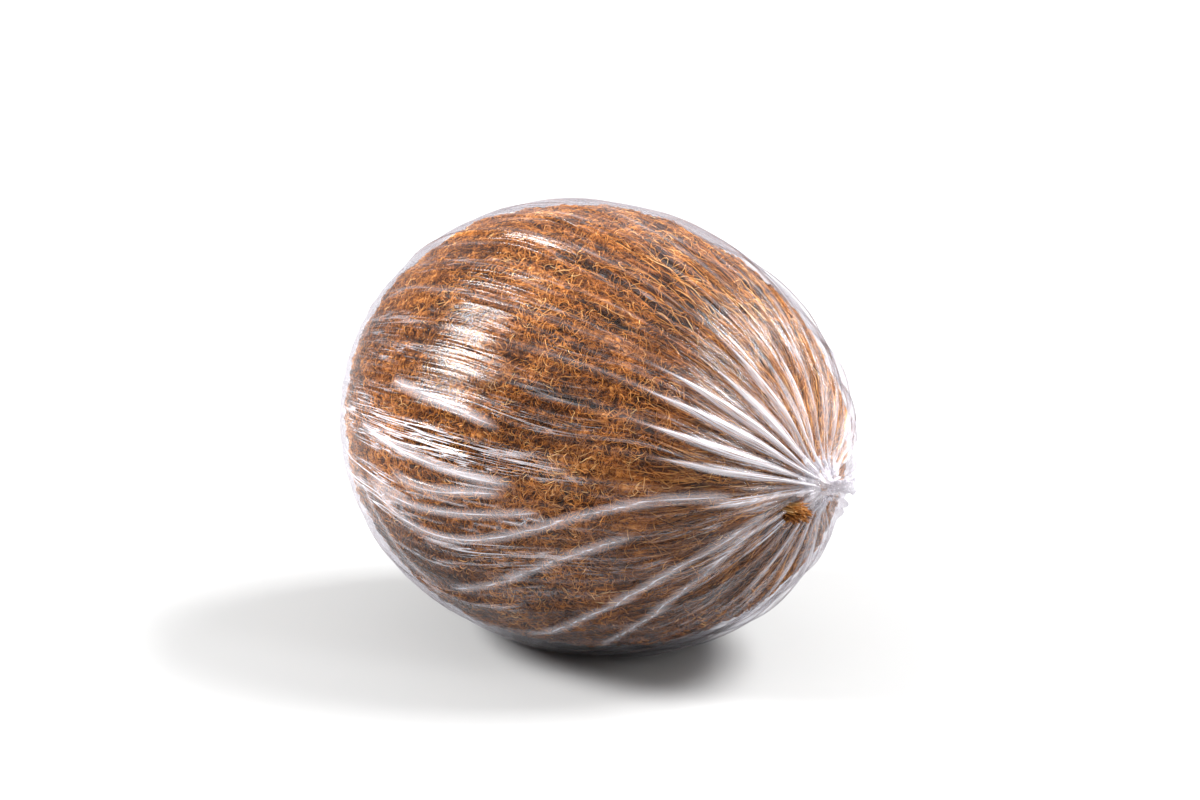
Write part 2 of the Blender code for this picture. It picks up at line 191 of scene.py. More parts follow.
class Nodes:
    """Short calls for building one material's nodes."""

    def __init__(self, name):
        self.material = bpy.data.materials.new(name)
        self.material.use_nodes = True
        self.tree = self.material.node_tree
        self.tree.nodes.clear()
        self.output = self.add("ShaderNodeOutputMaterial")

    def add(self, kind, **settings):
        node = self.tree.nodes.new(kind)
        for key, value in settings.items():
            setattr(node, key, value)
        return node

    def put(self, socket, value):
        """Links a socket, or sets it to a plain value."""
        if isinstance(value, bpy.types.NodeSocket):
            self.tree.links.new(value, socket)
        else:
            socket.default_value = value

    def value(self, key):
        return self.add("ShaderNodeAttribute", attribute_name=key).outputs["Fac"]

    def maths(self, operation, first, second=0.0, clamp=False):
        node = self.add("ShaderNodeMath", operation=operation, use_clamp=clamp)
        self.put(node.inputs[0], first)
        self.put(node.inputs[1], second)
        return node.outputs[0]

    def multiply_add(self, first, second, third):
        node = self.add("ShaderNodeMath", operation="MULTIPLY_ADD")
        for socket, value in zip(node.inputs, (first, second, third)):
            self.put(socket, value)
        return node.outputs[0]

    def noise(self, vector, scale, detail, roughness):
        node = self.add("ShaderNodeTexNoise")
        self.put(node.inputs["Vector"], vector)
        node.inputs["Scale"].default_value = scale
        node.inputs["Detail"].default_value = detail
        node.inputs["Roughness"].default_value = roughness
        return node.outputs["Fac"]

    def stretched(self, vector, scale):
        """A vector scaled by a different amount on each axis."""
        node = self.add("ShaderNodeVectorMath", operation="MULTIPLY")
        self.put(node.inputs[0], vector)
        node.inputs[1].default_value = scale
        return node.outputs[0]

    def ramp(self, factor, stops):
        node = self.add("ShaderNodeValToRGB")
        self.put(node.inputs[0], factor)
        elements = node.color_ramp.elements
        while len(elements) < len(stops):
            elements.new(0.5)
        for element, (place, colour) in zip(elements, stops):
            element.position = place
            element.color = (*colour, 1.0)
        return node.outputs[0]

    def mix(self, factor, first, second):
        node = self.add("ShaderNodeMix", data_type="RGBA")
        self.put(node.inputs[0], factor)
        self.put(node.inputs[6], first)
        self.put(node.inputs[7], second)
        return node.outputs[2]

    def bump(self, height, strength, distance):
        node = self.add("ShaderNodeBump")
        self.put(node.inputs["Height"], height)
        node.inputs["Strength"].default_value = strength
        node.inputs["Distance"].default_value = distance
        return node.outputs[0]

    def shade(self, first, second, factor):
        node = self.add("ShaderNodeMixShader")
        self.put(node.inputs[0], factor)
        self.put(node.inputs[1], first)
        self.put(node.inputs[2], second)
        return node.outputs[0]

    def finish(self, shader):
        self.tree.links.new(shader, self.output.inputs["Surface"])
        return self.material


# The nut's coir, in millimetres.
BODY_COLUMNS = 430
BODY_ROWS = 222
BODY_MARGIN = 0.012
BODY_LEVEL = FILM_WALL + 0.15
BODY_SINK = -0.62
CLUMP_HEIGHTS = (0.75, 0.4)
STRAND_HEIGHT = 0.42
FELT_HEIGHT = 0.5
GROOVE_DEPTH = 0.75
GROOVE_REACH = 0.30
CRACK_DEPTH = 1.9
CRACK_WAVE = 1.6
COIR_BOTTOM = -2.6
COIR_TOP = 0.75
# Depths where painted shade in the hollows starts and where it is darkest.
HOLLOW_SHADE_FROM = -0.9
HOLLOW_SHADE_TO = -1.9
GRAIN_RADIUS = 60.0
GRAIN_SQUEEZE = 0.16
GRAIN_SWAY = 0.055
COMBED_SWAY = 0.30
COMBED_FROM = math.radians(64.0)
COMBED_TO = math.radians(33.0)
COMBED_TOP = math.radians(85.0)
COMBED_TOP_WIDTH = math.radians(36.0)
COMBED_TOP_REACH = math.radians(30.0)

# Seeded noises of the coir: the size of their cells in millimetres, and their seeds.
COMBED_NOISE = (22.0, 3)
GRAIN_NOISE = (26.0, 5)
CRACK_NOISE = (9.0, 11)
CLUMP_NOISES = ((11.0, 1), (5.0, 2))
RIDGE_NOISE = (2.6, 7)
GROOVE_NOISE = (4.6, 8)
FELT_NOISES = ((2.0, 9), (1.1, 10))
# The edge of the painted shade on the underside.
UNDERSIDE_SHADE_NOISE = (20.0, 41)
FELT_TONE_NOISES = ((11.0, 21), (4.5, 22))
STRAND_TONE_NOISE = (14.0, 23)

# The underside's coir darkened with painted shade: how uneven its edge is, and the slopes that it starts
# and ends at.
UNDERSIDE_SHADE_SWAY = 0.25
UNDERSIDE_SHADE_SLOPES = (-0.15, 0.75)

# Loose fibres: felt pieces and fibres in each, and what a fibre is like.
FIBRE_LEVEL = FILM_WALL + 0.2
FELT_PIECES = 9
FELT_FIBRES = 7600
FELT_LENGTHS = (1.6, 5.0)
FELT_RADII = (0.05, 0.115)
FELT_LIFTS = (0.1, 0.6)
FELT_STEPS = 4
FELT_CURL = 0.30
FELT_SINK = 0.25
FELT_SPREAD = 1.05
FELT_THINNED = 0.72
FELT_OFF_CRACKS = 0.25
FELT_TONE = 0.44
FELT_TONE_SWING = 0.24
# How much painted shade darkens the felt on the underside.
FELT_UNDERSIDE_SHADE = 0.27
FIBRE_TONE_SPREAD = 0.20

# Fibre colours from the darkest shade to the palest.
FELT_COLOURS = ((0.036, 0.012, 0.004), (0.30, 0.092, 0.016), (0.72, 0.290, 0.060), (0.92, 0.56, 0.22))
STRAND_COLOURS = ((0.040, 0.014, 0.005), (0.30, 0.105, 0.024), (0.68, 0.31, 0.085), (0.90, 0.60, 0.28))

# Long fibres: how many, from where to where along the nut, how far they stray, and lengths.
LONG_FIBRES = (
    (2200, 0.06, math.radians(48.0), 0.09, (8.0, 26.0)),
    (2200, 0.06, math.radians(48.0), 0.11, (8.0, 22.0)),
    (6500, math.radians(36.0), math.radians(172.0), 0.26, (6.0, 18.0)),
)
STRAND_RADII = (0.07, 0.16)
STRAND_LIFTS = (0.05, 0.35)
STRAND_STEPS = 9
STRAND_CURL = 0.018
STRAND_SINK = 0.15
STRAND_SHORTEST = 3.0
STRAND_SHORT_SHARE = 0.6
STRAND_THINNED = 0.90
STRAND_TONE = 0.44
STRAND_TONE_SWING = 0.27
# How much painted shade darkens the long strands on the underside.
STRAND_UNDERSIDE_SHADE = 0.30

# The tuft's fibres.
TUFT_FIBRES = 240
TUFT_STEPS = 7
TUFT_RADIUS = 1.6
TUFT_ROOT = 1.2
TUFT_SHORTEST = 0.62
TUFT_SPLAY = (-0.10, 0.16)
TUFT_CURL = 0.75
TUFT_RADII = (0.11, 0.2)
TUFT_TONE = 0.62
# How much paler the tuft's upper fibres are than its lower ones: painted light and shade.
TUFT_PAINTED_TOP_LIGHT = 0.34
TUFT_TONE_SPREAD = 0.30
TUFT_DARK_END = 0.60

# Lengthwise cracks: middle turn and angle in degrees, half length and half width.
CRACKS = (
    (62.0, 74.0, 17.0, 1.6),
    (74.0, 61.0, 14.0, 1.5),
    (58.0, 96.0, 15.0, 1.6),
    (82.0, 83.0, 12.0, 1.5),
    (47.0, 288.0, 16.0, 1.9),
    (70.0, 152.0, 15.0, 1.4),
    (73.0, 112.0, 15.0, 1.3),
    (88.0, 103.0, 13.0, 1.2),
    (66.0, 124.0, 12.0, 1.1),
    (52.0, 112.0, 10.0, 1.2),
)


def egg_place(turn, around):
    """Points on the smooth egg itself."""
    return egg(turn, around, np.zeros(np.broadcast(turn, around).shape))


def combed(turn, around):
    """How far the coir lies combed in lengthwise strands here, from 0 to 1."""
    drift = COMBED_SWAY * field(egg_place(turn, around), *COMBED_NOISE)
    away = (around - COMBED_TOP + math.pi) % TAU - math.pi
    drift = drift - COMBED_TOP_REACH * np.exp(-((away / COMBED_TOP_WIDTH) ** 2))
    return smooth(COMBED_FROM, COMBED_TO, turn + drift)


def grain(turn, around):
    """Places stretched along the strands: round the nut on a circle, and along it."""
    angle = around + GRAIN_SWAY * field(egg_place(turn, around), *GRAIN_NOISE)
    along = GRAIN_SQUEEZE * NUT_HALF_LENGTH * turn
    return np.stack([GRAIN_RADIUS * np.cos(angle), GRAIN_RADIUS * np.sin(angle), along], -1)


def crack_depth(turn, around):
    """How deep the lengthwise cracks are here, from 0 to 1."""
    deepest = np.zeros(np.broadcast(turn, around).shape)
    waver = CRACK_WAVE * field(egg_place(turn, around), *CRACK_NOISE)
    for row, angle, half_length, half_width in CRACKS:
        along = (np.degrees(turn) - row) / half_length
        across = ((np.degrees(around) + waver - angle + 180.0) % 360.0 - 180.0) / half_width
        inside = np.clip(1.0 - along * along, 0.0, 1.0) * np.clip(1.0 - np.abs(across), 0.0, 1.0)
        deepest = np.maximum(deepest, inside)
    return deepest


def coir_height(turn, around):
    """Height of the coir's body above the smooth egg."""
    place = egg_place(turn, around)
    strands = grain(turn, around)
    share = combed(turn, around)
    large, small = [size * field(place, *noise) for size, noise in zip(CLUMP_HEIGHTS, CLUMP_NOISES)]
    height = BODY_SINK + large + small
    ridge = 1.0 - 2.0 * np.abs(field(strands, *RIDGE_NOISE))
    height += STRAND_HEIGHT * ridge * (0.45 + 0.8 * share)
    groove = smooth(GROOVE_REACH, 0.0, np.abs(field(strands, *GROOVE_NOISE)))
    height -= GROOVE_DEPTH * groove * (0.25 + 0.5 * share)
    coarse, fine = [field(place, *noise) for noise in FELT_NOISES]
    height += FELT_HEIGHT * (1.0 - 0.7 * share) * (coarse + 0.5 * fine)
    height -= CRACK_DEPTH * crack_depth(turn, around)
    return np.clip(height, COIR_BOTTOM, COIR_TOP)


def coir_material():
    """Matted coir: rust and brown strands with dark gaps between them, painted shade in its hollows and on
    its underside.
    """
    kit = Nodes("coir")
    place = kit.add("ShaderNodeTexCoord").outputs["Object"]
    strands = kit.add("ShaderNodeAttribute", attribute_name="grain").outputs["Vector"]
    fine = kit.noise(strands, 1.3, 4.0, 0.7)
    fibre = kit.noise(kit.stretched(strands, (1.0, 1.0, 0.8)), 0.55, 3.0, 0.65)
    felt = kit.noise(place, 900.0, 3.0, 0.7)
    patch = kit.noise(place, 42.0, 3.0, 0.55)
    mixed = kit.mix(kit.value("combed"), felt, fine)
    tone = kit.maths("ADD", kit.maths("MULTIPLY", mixed, 1.5), fibre)
    tone = kit.maths("ADD", tone, kit.maths("MULTIPLY", patch, 0.6))
    tone = kit.maths("SUBTRACT", tone, 1.05)
    colour = kit.ramp(tone, (
        (0.32, (0.010, 0.003, 0.001)),
        (0.47, (0.070, 0.020, 0.005)),
        (0.60, (0.290, 0.090, 0.018)),
        (0.80, (0.600, 0.250, 0.065)),
    ))
    warm = kit.mix(kit.maths("MULTIPLY", patch, 0.22), colour, (0.22, 0.066, 0.016, 1.0))
    # Painted shade darkens the coir on the underside.
    underside_shaded = kit.mix(kit.maths("MULTIPLY", kit.value("underside_shade"), 0.6), warm, (0.040, 0.015, 0.007, 1.0))
    # Painted shade: the hollows go near black.
    hollow_shaded = kit.mix(kit.value("hollow_shade"), underside_shaded, (0.014, 0.006, 0.003, 1.0))
    shader = kit.add("ShaderNodeBsdfPrincipled")
    kit.put(shader.inputs["Base Color"], hollow_shaded)
    shader.inputs["Roughness"].default_value = 0.9
    shader.inputs["Specular IOR Level"].default_value = 0.08
    height = kit.maths("ADD", mixed, fibre)
    kit.put(shader.inputs["Normal"], kit.bump(height, 0.9, 0.0006))
    return kit.finish(shader.outputs[0])


def past_seam(u, mesh):
    """Moves the corners of faces that cross the map's seam to its right edge."""
    starts = np.zeros(len(mesh.polygons), dtype=np.int32)
    sizes = np.zeros(len(mesh.polygons), dtype=np.int32)
    mesh.polygons.foreach_get("loop_start", starts)
    mesh.polygons.foreach_get("loop_total", sizes)
    face = np.repeat(np.arange(len(starts)), sizes)
    high = np.maximum.reduceat(u, starts)[face]
    return 0.004 + 0.992 * np.where((high - u) > 0.5, u + 1.0, u)


def add_vector(item, key, vectors):
    layer = item.data.attributes.new(key, "FLOAT_VECTOR", "POINT")
    layer.data.foreach_set("vector", np.asarray(vectors, dtype=np.float32).ravel())


def nut_body(material):
    """The nut's body of matted coir, under its loose fibres."""
    turns = np.linspace(BODY_MARGIN, math.pi - BODY_MARGIN, BODY_ROWS)
    turn = turns[:, None]
    around = np.linspace(0.0, TAU, BODY_COLUMNS, endpoint=False)[None, :]
    turn, around = np.broadcast_arrays(turn, around)
    height = coir_height(turn, around)
    points = egg(turn, around, height).reshape(-1, 3)
    faces = quad_grid(BODY_ROWS, BODY_COLUMNS).tolist()
    ends = egg(np.array([0.0, math.pi]), np.zeros(2), np.array([height[0].mean(), height[-1].mean()]))
    points = np.concatenate([points, ends])
    first, last = len(points) - 2, len(points) - 1
    base = (BODY_ROWS - 1) * BODY_COLUMNS
    for k in range(BODY_COLUMNS):
        following = (k + 1) % BODY_COLUMNS
        faces.append([first, k, following])
        faces.append([last, base + following, base + k])
    rings = 0.005 + 0.99 * turns / math.pi
    values = {
        "combed": np.append(combed(turn, around).ravel(), [1.0, 0.0]),
        # How deep the painted shade in the hollows is.
        "hollow_shade": np.append(smooth(HOLLOW_SHADE_FROM, HOLLOW_SHADE_TO, height).ravel(), [0.0, 0.0]),
        # How much painted shade darkens the underside.
        "underside_shade": np.append(underside_shade(turn, around).ravel(), [0.0, 0.0]),
    }

    def lay_out(corners, mesh):
        u = past_seam((corners % BODY_COLUMNS) / BODY_COLUMNS, mesh)
        v = rings[np.minimum(corners // BODY_COLUMNS, BODY_ROWS - 1)]
        v[corners == first] = 0.0
        v[corners == last] = 1.0
        return np.stack([u, v], -1)

    item = make_mesh("coir_body", points, faces, material, BODY_LEVEL, lay_out, values)
    strands = np.concatenate([grain(turn, around).reshape(-1, 3), np.zeros((2, 3))])
    add_vector(item, "grain", strands)
    return item


def fibre_material(name, dark, middle, light, pale):
    """Loose coir fibres: each has its own shade, paler toward its end."""
    kit = Nodes(name)
    shade = kit.value("shade")
    place = kit.add("ShaderNodeTexCoord").outputs["Object"]
    fleck = kit.noise(place, 700.0, 2.0, 0.6)
    tone = kit.maths("ADD", shade, kit.multiply_add(fleck, 0.3, -0.15))
    colour = kit.ramp(tone, ((0.02, dark), (0.36, middle), (0.74, light), (0.98, pale)))
    shader = kit.add("ShaderNodeBsdfPrincipled")
    kit.put(shader.inputs["Base Color"], colour)
    shader.inputs["Roughness"].default_value = 0.7
    shader.inputs["Specular IOR Level"].default_value = 0.12
    return kit.finish(shader.outputs[0])


def along_speed(turn):
    """Millimetres along the nut for each radian of turn."""
    slope = NUT_HALF_WIDTH * (np.cos(turn) + EGG_TAPER * np.cos(2.0 * turn))
    return np.hypot(NUT_HALF_LENGTH * np.sin(turn), slope)


def underside_shade(turn, around):
    """How much painted shade darkens the coir on the underside, from 0 to 1."""
    down = -egg_normal(turn, around)[..., 2]
    patch = UNDERSIDE_SHADE_SWAY * field(egg_place(turn, around), *UNDERSIDE_SHADE_NOISE)
    return smooth(*UNDERSIDE_SHADE_SLOPES, down + patch)


def scatter(rng, count, low, high):
    """Seeded places spread evenly over the nut between two turns."""
    turns = np.linspace(low, high, 400)
    share = np.cumsum(ring_radius(turns) * along_speed(turns))
    share = (share - share[0]) / (share[-1] - share[0])
    return np.interp(rng.random(count), share, turns), TAU * rng.random(count)


def fibre_paths(rng, turn, around, heading, length, steps, curl, lift, sink):
    """Paths of fibres that lie on the coir, one row of points each."""
    step = length / steps
    bend = curl * rng.normal(size=len(turn))
    paths, outs = [], []
    for index in range(steps + 1):
        share = index / steps
        rise = lift * np.sin(math.pi * share) ** 0.8 - sink * (abs(2.0 * share - 1.0) ** 3)
        height = np.minimum(coir_height(turn, around) + rise, COIR_TOP + 0.12)
        paths.append(egg(turn, around, height))
        outs.append(egg_normal(turn, around))
        heading = heading + bend * step + curl * 1.3 * rng.normal(size=len(turn)) * np.sqrt(step)
        turn = np.clip(turn - step * np.cos(heading) / along_speed(turn), 0.02, math.pi - 0.02)
        around = around + step * np.sin(heading) / np.maximum(ring_radius(turn), 2.0)
    return np.stack(paths, 1), np.stack(outs, 1)


def tube_points(paths, outs, radius):
    """Three-cornered rings round the paths, thinner towards both ends."""
    along = np.gradient(paths, axis=1)
    along /= np.linalg.norm(along, axis=-1, keepdims=True) + 1e-9
    side = np.cross(along, outs)
    side /= np.linalg.norm(side, axis=-1, keepdims=True) + 1e-9
    up = np.cross(side, along)
    share = np.linspace(0.0, 1.0, paths.shape[1])
    taper = 0.45 + 0.55 * np.sin(math.pi * np.clip(share * 0.9 + 0.05, 0.0, 1.0))
    half = radius[:, None, None] * taper[None, :, None]
    rings = []
    for k in range(3):
        angle = math.pi * 0.5 + TAU * k / 3.0
        rings.append(paths + half * (math.cos(angle) * side + math.sin(angle) * up))
    return np.stack(rings, 2).reshape(-1, 3)


def tube_faces(count, points_each):
    """Walls and end caps of a number of three-sided tubes."""
    first = (np.arange(count) * points_each * 3)[:, None, None]
    row = (np.arange(points_each - 1) * 3)[None, :, None]
    column = np.arange(3)[None, None, :]
    following = (np.arange(3) + 1)[None, None, :] % 3
    a, b = first + row + column, first + row + following
    walls = np.stack([a, b, b + 3, a + 3], -1).reshape(-1, 4)
    start = first[:, :, 0]
    finish = start + (points_each - 1) * 3
    caps = np.concatenate([start + [[2, 1, 0]], finish + [[0, 1, 2]]])
    return walls.tolist() + caps.tolist()


def fibre_tubes(name, paths, outs, radius, shade, material, level, dark_end=0.0):
    """One piece made of three-sided tapered tubes, each with a place in its map."""
    count, points_each = paths.shape[:2]
    points = tube_points(paths, outs, radius)
    faces = tube_faces(count, points_each)
    cells = int(math.ceil(math.sqrt(count)))

    def lay_out(corners, mesh):
        fibre = corners // (points_each * 3)
        place = corners % (points_each * 3)
        u = (fibre % cells + 0.2 + 0.3 * (place % 3)) / cells
        v = (fibre // cells + 0.12 + 0.76 * (place // 3) / (points_each - 1)) / cells
        return np.stack([u, v], -1)

    share = np.linspace(0.0, 1.0, points_each)
    tone = shade[:, None] + 0.12 * (share[None, :] - 0.5)
    tone = tone * (1.0 - dark_end * smooth(0.88, 0.99, share[None, :]))
    values = {"shade": np.repeat(tone.ravel(), 3)}
    return make_mesh(name, points, faces, material, level, lay_out, values)


def felt_tone(turn, around):
    """The felt's tone from place to place: patchy, and darker on the underside with painted shade."""
    wide, close = [field(egg_place(turn, around), *noise) for noise in FELT_TONE_NOISES]
    tone = FELT_TONE + FELT_TONE_SWING * wide + FELT_TONE_SWING * close
    return tone - FELT_UNDERSIDE_SHADE * underside_shade(turn, around)


def felt_fibres(material):
    """Short curly fibres matted all over the nut, in pieces of a fair size."""
    items = []
    for part in range(FELT_PIECES):
        rng = np.random.default_rng(40 + part)
        turn, around = scatter(rng, FELT_FIBRES, 0.10, math.pi - 0.03)
        keep = rng.random(FELT_FIBRES) > FELT_THINNED * combed(turn, around)
        keep &= crack_depth(turn, around) < FELT_OFF_CRACKS
        turn, around = turn[keep], around[keep]
        size = len(turn)
        heading = rng.normal(size=size) * FELT_SPREAD + np.where(rng.random(size) < 0.5, 0.0, math.pi)
        length = rng.uniform(*FELT_LENGTHS, size)
        lift = rng.uniform(*FELT_LIFTS, size)
        paths, outs = fibre_paths(
            rng, turn, around, heading, length, FELT_STEPS, FELT_CURL, lift, FELT_SINK
        )
        radius = rng.uniform(*FELT_RADII, size)
        tone = felt_tone(turn, around)
        shade = np.clip(tone + FIBRE_TONE_SPREAD * rng.normal(size=size), 0.0, 1.0)
        name = f"coir_felt_{part + 1}"
        items.append(fibre_tubes(name, paths, outs, radius, shade, material, FIBRE_LEVEL))
    return items


def strand_tone(turn, around):
    """The long strands' tone from place to place, darker on the underside with painted shade."""
    patch = STRAND_TONE_SWING * field(egg_place(turn, around), *STRAND_TONE_NOISE)
    return STRAND_TONE + patch - STRAND_UNDERSIDE_SHADE * underside_shade(turn, around)


def long_fibres(material):
    """Long fibres combed along the nut, closest together at the stem end."""
    items = []
    for part, (count, low, high, spread, lengths) in enumerate(LONG_FIBRES):
        rng = np.random.default_rng(70 + part)
        turn, around = scatter(rng, count, low, high)
        share = combed(turn, around)
        keep = rng.random(count) < 1.0 - STRAND_THINNED + STRAND_THINNED * share
        turn, around = turn[keep], around[keep]
        size = len(turn)
        length = rng.uniform(*lengths, size) * np.where(rng.random(size) < 0.5, STRAND_SHORT_SHARE, 1.0)
        room = along_speed(turn) * (turn - 0.03)
        length = np.minimum(length, np.maximum(room, STRAND_SHORTEST))
        heading = rng.normal(size=size) * spread
        lift = rng.uniform(*STRAND_LIFTS, size)
        paths, outs = fibre_paths(
            rng, turn, around, heading, length, STRAND_STEPS, STRAND_CURL, lift, STRAND_SINK
        )
        radius = rng.uniform(*STRAND_RADII, size)
        tone = strand_tone(turn, around)
        shade = np.clip(tone + FIBRE_TONE_SPREAD * rng.normal(size=size), 0.0, 1.0)
        name = f"coir_strands_{part + 1}"
        items.append(fibre_tubes(name, paths, outs, radius, shade, material, FIBRE_LEVEL))
    return items


def tuft(material):
    """The broken tuft of coir that pokes out beside the gather."""
    rng = np.random.default_rng(90)
    centre = egg(np.array(TUFT_TURN), np.array(TUFT_ANGLE), np.array(0.0))
    out = egg_normal(np.array(TUFT_TURN), np.array(TUFT_ANGLE)) + TUFT_LEAN
    out /= np.linalg.norm(out)
    side = np.cross(out, (0.0, 0.0, 1.0))
    side /= np.linalg.norm(side)
    other = np.cross(out, side)
    reach = TUFT_RADIUS * np.sqrt(rng.random(TUFT_FIBRES))
    angle = TAU * rng.random(TUFT_FIBRES)
    foot = centre + reach[:, None] * (np.cos(angle)[:, None] * side + np.sin(angle)[:, None] * other)
    length = TUFT_ROOT + TUFT_LENGTH * rng.uniform(TUFT_SHORTEST, 1.0, TUFT_FIBRES)
    splay = (foot - centre) * rng.uniform(*TUFT_SPLAY, TUFT_FIBRES)[:, None] / 1.5
    curl = rng.normal(size=(TUFT_FIBRES, 3)) * TUFT_CURL
    paths = []
    for index in range(TUFT_STEPS + 1):
        share = index / TUFT_STEPS
        point = foot + out * ((length * share)[:, None] - TUFT_ROOT) + splay * (share * 3.0)
        paths.append(point + curl * share * share)
    paths = np.stack(paths, 1)
    outs = np.broadcast_to(other, paths.shape)
    radius = rng.uniform(*TUFT_RADII, TUFT_FIBRES)
    # Painted light and shade: fibres paler the higher they stand in the tuft, darker low down.
    higher = (foot - centre)[:, 2] / TUFT_RADIUS
    tone = TUFT_TONE + TUFT_PAINTED_TOP_LIGHT * higher
    shade = np.clip(tone + TUFT_TONE_SPREAD * rng.normal(size=TUFT_FIBRES), 0.0, 1.0)
    return fibre_tubes("coir_tuft", paths, outs, radius, shade, material, 0.0, TUFT_DARK_END)


# The film sheet, in millimetres, and its fine creases.
FILM_RISE = 1.45
FILM_THICK = 0.14
FILM_ROWS = 96
FILM_FIRST = math.radians(4.3)
FILM_LAST = math.pi - 0.002
STAR_TURNS = np.radians((0.0, 4.2, 5.6, 7.0, 10.0, 13.4))
STAR_HEIGHTS = (3.0, 2.5, 1.8, 1.1, 0.35, 0.0)
STAR_RUFFLE = (0.5, 0.6, 0.9, 0.75, 0.35, 0.0)
ROW_CROWDING = (0.36, 1.55)
RUFFLES = (0.45, 1.0)
FILM_NOISES = ((7.0, 31), (2.6, 32))
FILM_WAVES = (0.10, 0.05)
CREASE_COUNT = 170
CREASE_STARTS = (0.06, 1.5)
CREASE_LENGTHS = (0.5, 2.0)
CREASE_DRIFTS = (9.0, 3.0)
CREASE_HEIGHTS = (0.07, 0.30)
CREASE_HALF_WIDTHS = (0.8, 1.7)
TENSE_FROM = math.radians(16.0)
TENSE_TO = math.radians(56.0)
# The flank with painted highlight streaks: its middle turn and half spread, its angle and half spread.
FLANK_TURN = math.radians(104.0)
FLANK_HALF_TURN = math.radians(34.0)
FLANK_ANGLE = math.radians(183.0)
FLANK_HALF_ANGLE = math.radians(32.0)
TEAR_TURN = math.radians(10.4)
TEAR_HALF_TURN = math.radians(3.1)
TEAR_HALF_ANGLE = math.radians(19.0)
TEAR_NOISE = (1.6, 33)
TEAR_RAGGED = 0.3


def fold_list():
    """The film's folds: angle, height, how far back, ruffle at the gather and wander."""
    rng = random.Random(FOLD_SEED)
    folds = []
    for k in range(FOLD_COUNT):
        place = k + FOLD_PHASE + rng.uniform(-FOLD_JITTER, FOLD_JITTER)
        height = rng.uniform(*FOLD_HEIGHTS)
        reach = rng.uniform(*FOLD_REACHES)
        ruffle = rng.uniform(*RUFFLES) * (1.0 if k % 2 else -1.0)
        wander = FOLD_WANDER * rng.uniform(-1.0, 1.0)
        folds.append((TAU * place / FOLD_COUNT, height, reach, ruffle, wander))
    return np.array(folds)


def fold_crest(folds, turn):
    """Height of each fold's crest above the film beside it, one row for each turn."""
    height, reach = folds[None, :, 1], folds[None, :, 2]
    rise = smooth(FOLD_RISE[0], FOLD_RISE[1], turn)
    fall = 1.0 - smooth(0.0, 1.0, (turn - 0.45 * reach) / (0.55 * reach))
    start = FOLD_START_SHARE + (1.0 - FOLD_START_SHARE) * rise
    return height * start * (FOLD_END_SHARE + (1.0 - FOLD_END_SHARE) * fall)


# How white each fold's crest is beside the gather, partly milk of the doubled film and partly painted
# highlight, in order round the nut, and how far back the faintest and the whitest of them reach.
RAY_STRENGTHS = (
    0.20, 0.25, 0.35, 0.12, 0.30, 0.12, 0.25, 0.30, 0.50, 0.45, 0.75, 0.70,
    1.00, 1.00, 0.95, 0.80, 0.15, 0.40, 0.10, 0.30, 0.20, 0.10, 0.40, 0.10,
    0.40, 0.20, 0.40, 0.10, 0.30, 0.10, 0.30, 0.20, 0.30, 0.20,
)
RAY_REACHES = (math.radians(24.0), math.radians(60.0))
RAY_POINT = (0.55, 1.0)
RAY_EDGE = (0.12, 0.60)
RAY_SHARPNESS = 0.74

# Columns of one fold's strip: share of the way to the strip's edge, beyond the fold's foot
# where it is above 1.
STRIP = (-2.0, -1.72, -1.42, -1.2, -1.0, -0.62, -0.28, 0.0, 0.28, 0.62, 1.0, 1.2, 1.42, 1.72)

# Long folds that cross the others: how white each is (milk on its band, painted highlight on its crest),
# and its turns and angles in degrees.
LONG_FOLDS = (
    (1.0, (25, 35, 55, 70, 85, 95, 105, 118), (178, 177.5, 181.5, 188, 195, 196, 192, 186)),
    (0.9, (48, 51, 70, 86, 98), (191, 193, 199.5, 209, 213)),
    (1.0, (15, 38, 54, 74, 85), (197, 206, 214, 225, 230)),
    (0.8, (20, 24, 37, 61, 72), (203, 206, 216, 232, 240)),
    (1.2, (79, 92, 105, 112), (163.5, 161, 159, 158)),
    (1.2, (74, 86, 93, 113, 122), (177, 177, 176.5, 173.4, 172)),
    (1.0, (76, 81, 97, 108), (180, 180.5, 183, 181)),
    (1.0, (68, 76, 87, 102, 118), (184, 185, 187.7, 188.5, 187)),
    (0.6, (100, 108, 116, 124), (214, 208, 197, 184)),
    (0.5, (22, 42, 62, 84), (20, 27, 29, 25)),
    (0.5, (30, 50, 70, 95), (340, 333, 329, 331)),
    (0.5, (58, 74, 92, 110), (58, 64, 66, 63)),
)
LONG_FOLD_HEIGHT = 0.32
LONG_FOLD_HALF_WIDTH = 1.8
LONG_FOLD_REACH = 2.6
LONG_FOLD_END = 6.0


def long_fold_field(turn, around):
    """Signed distance in millimetres to the nearest long fold, and how white that fold is."""
    row, angle = np.degrees(turn), np.degrees(around)
    nearest = np.full(turn.shape, 1000.0)
    signed = np.full(turn.shape, LONG_FOLD_REACH)
    white = np.zeros(turn.shape)
    for strength, turns, angles in LONG_FOLDS:
        curve = np.polyfit(turns, angles, 3)
        slant = np.polyval(np.polyder(curve), row) * ring_radius(turn) / along_speed(turn)
        across = (angle - np.polyval(curve, row) + 180.0) % 360.0 - 180.0
        away = np.radians(across) * ring_radius(turn) / np.sqrt(1.0 + slant * slant)
        ends = smooth(turns[0], turns[0] + LONG_FOLD_END, row)
        ends = ends * smooth(turns[-1], turns[-1] - LONG_FOLD_END, row)
        score = np.abs(away) + 100.0 * (ends <= 0.0)
        closer = score < nearest
        nearest = np.where(closer, score, nearest)
        signed = np.where(closer, away, signed)
        fade = smooth(LONG_FOLD_REACH, 0.6 * LONG_FOLD_REACH, np.abs(away))
        white = np.where(closer, strength * ends * fade, white)
    return np.clip(signed, -LONG_FOLD_REACH, LONG_FOLD_REACH), white


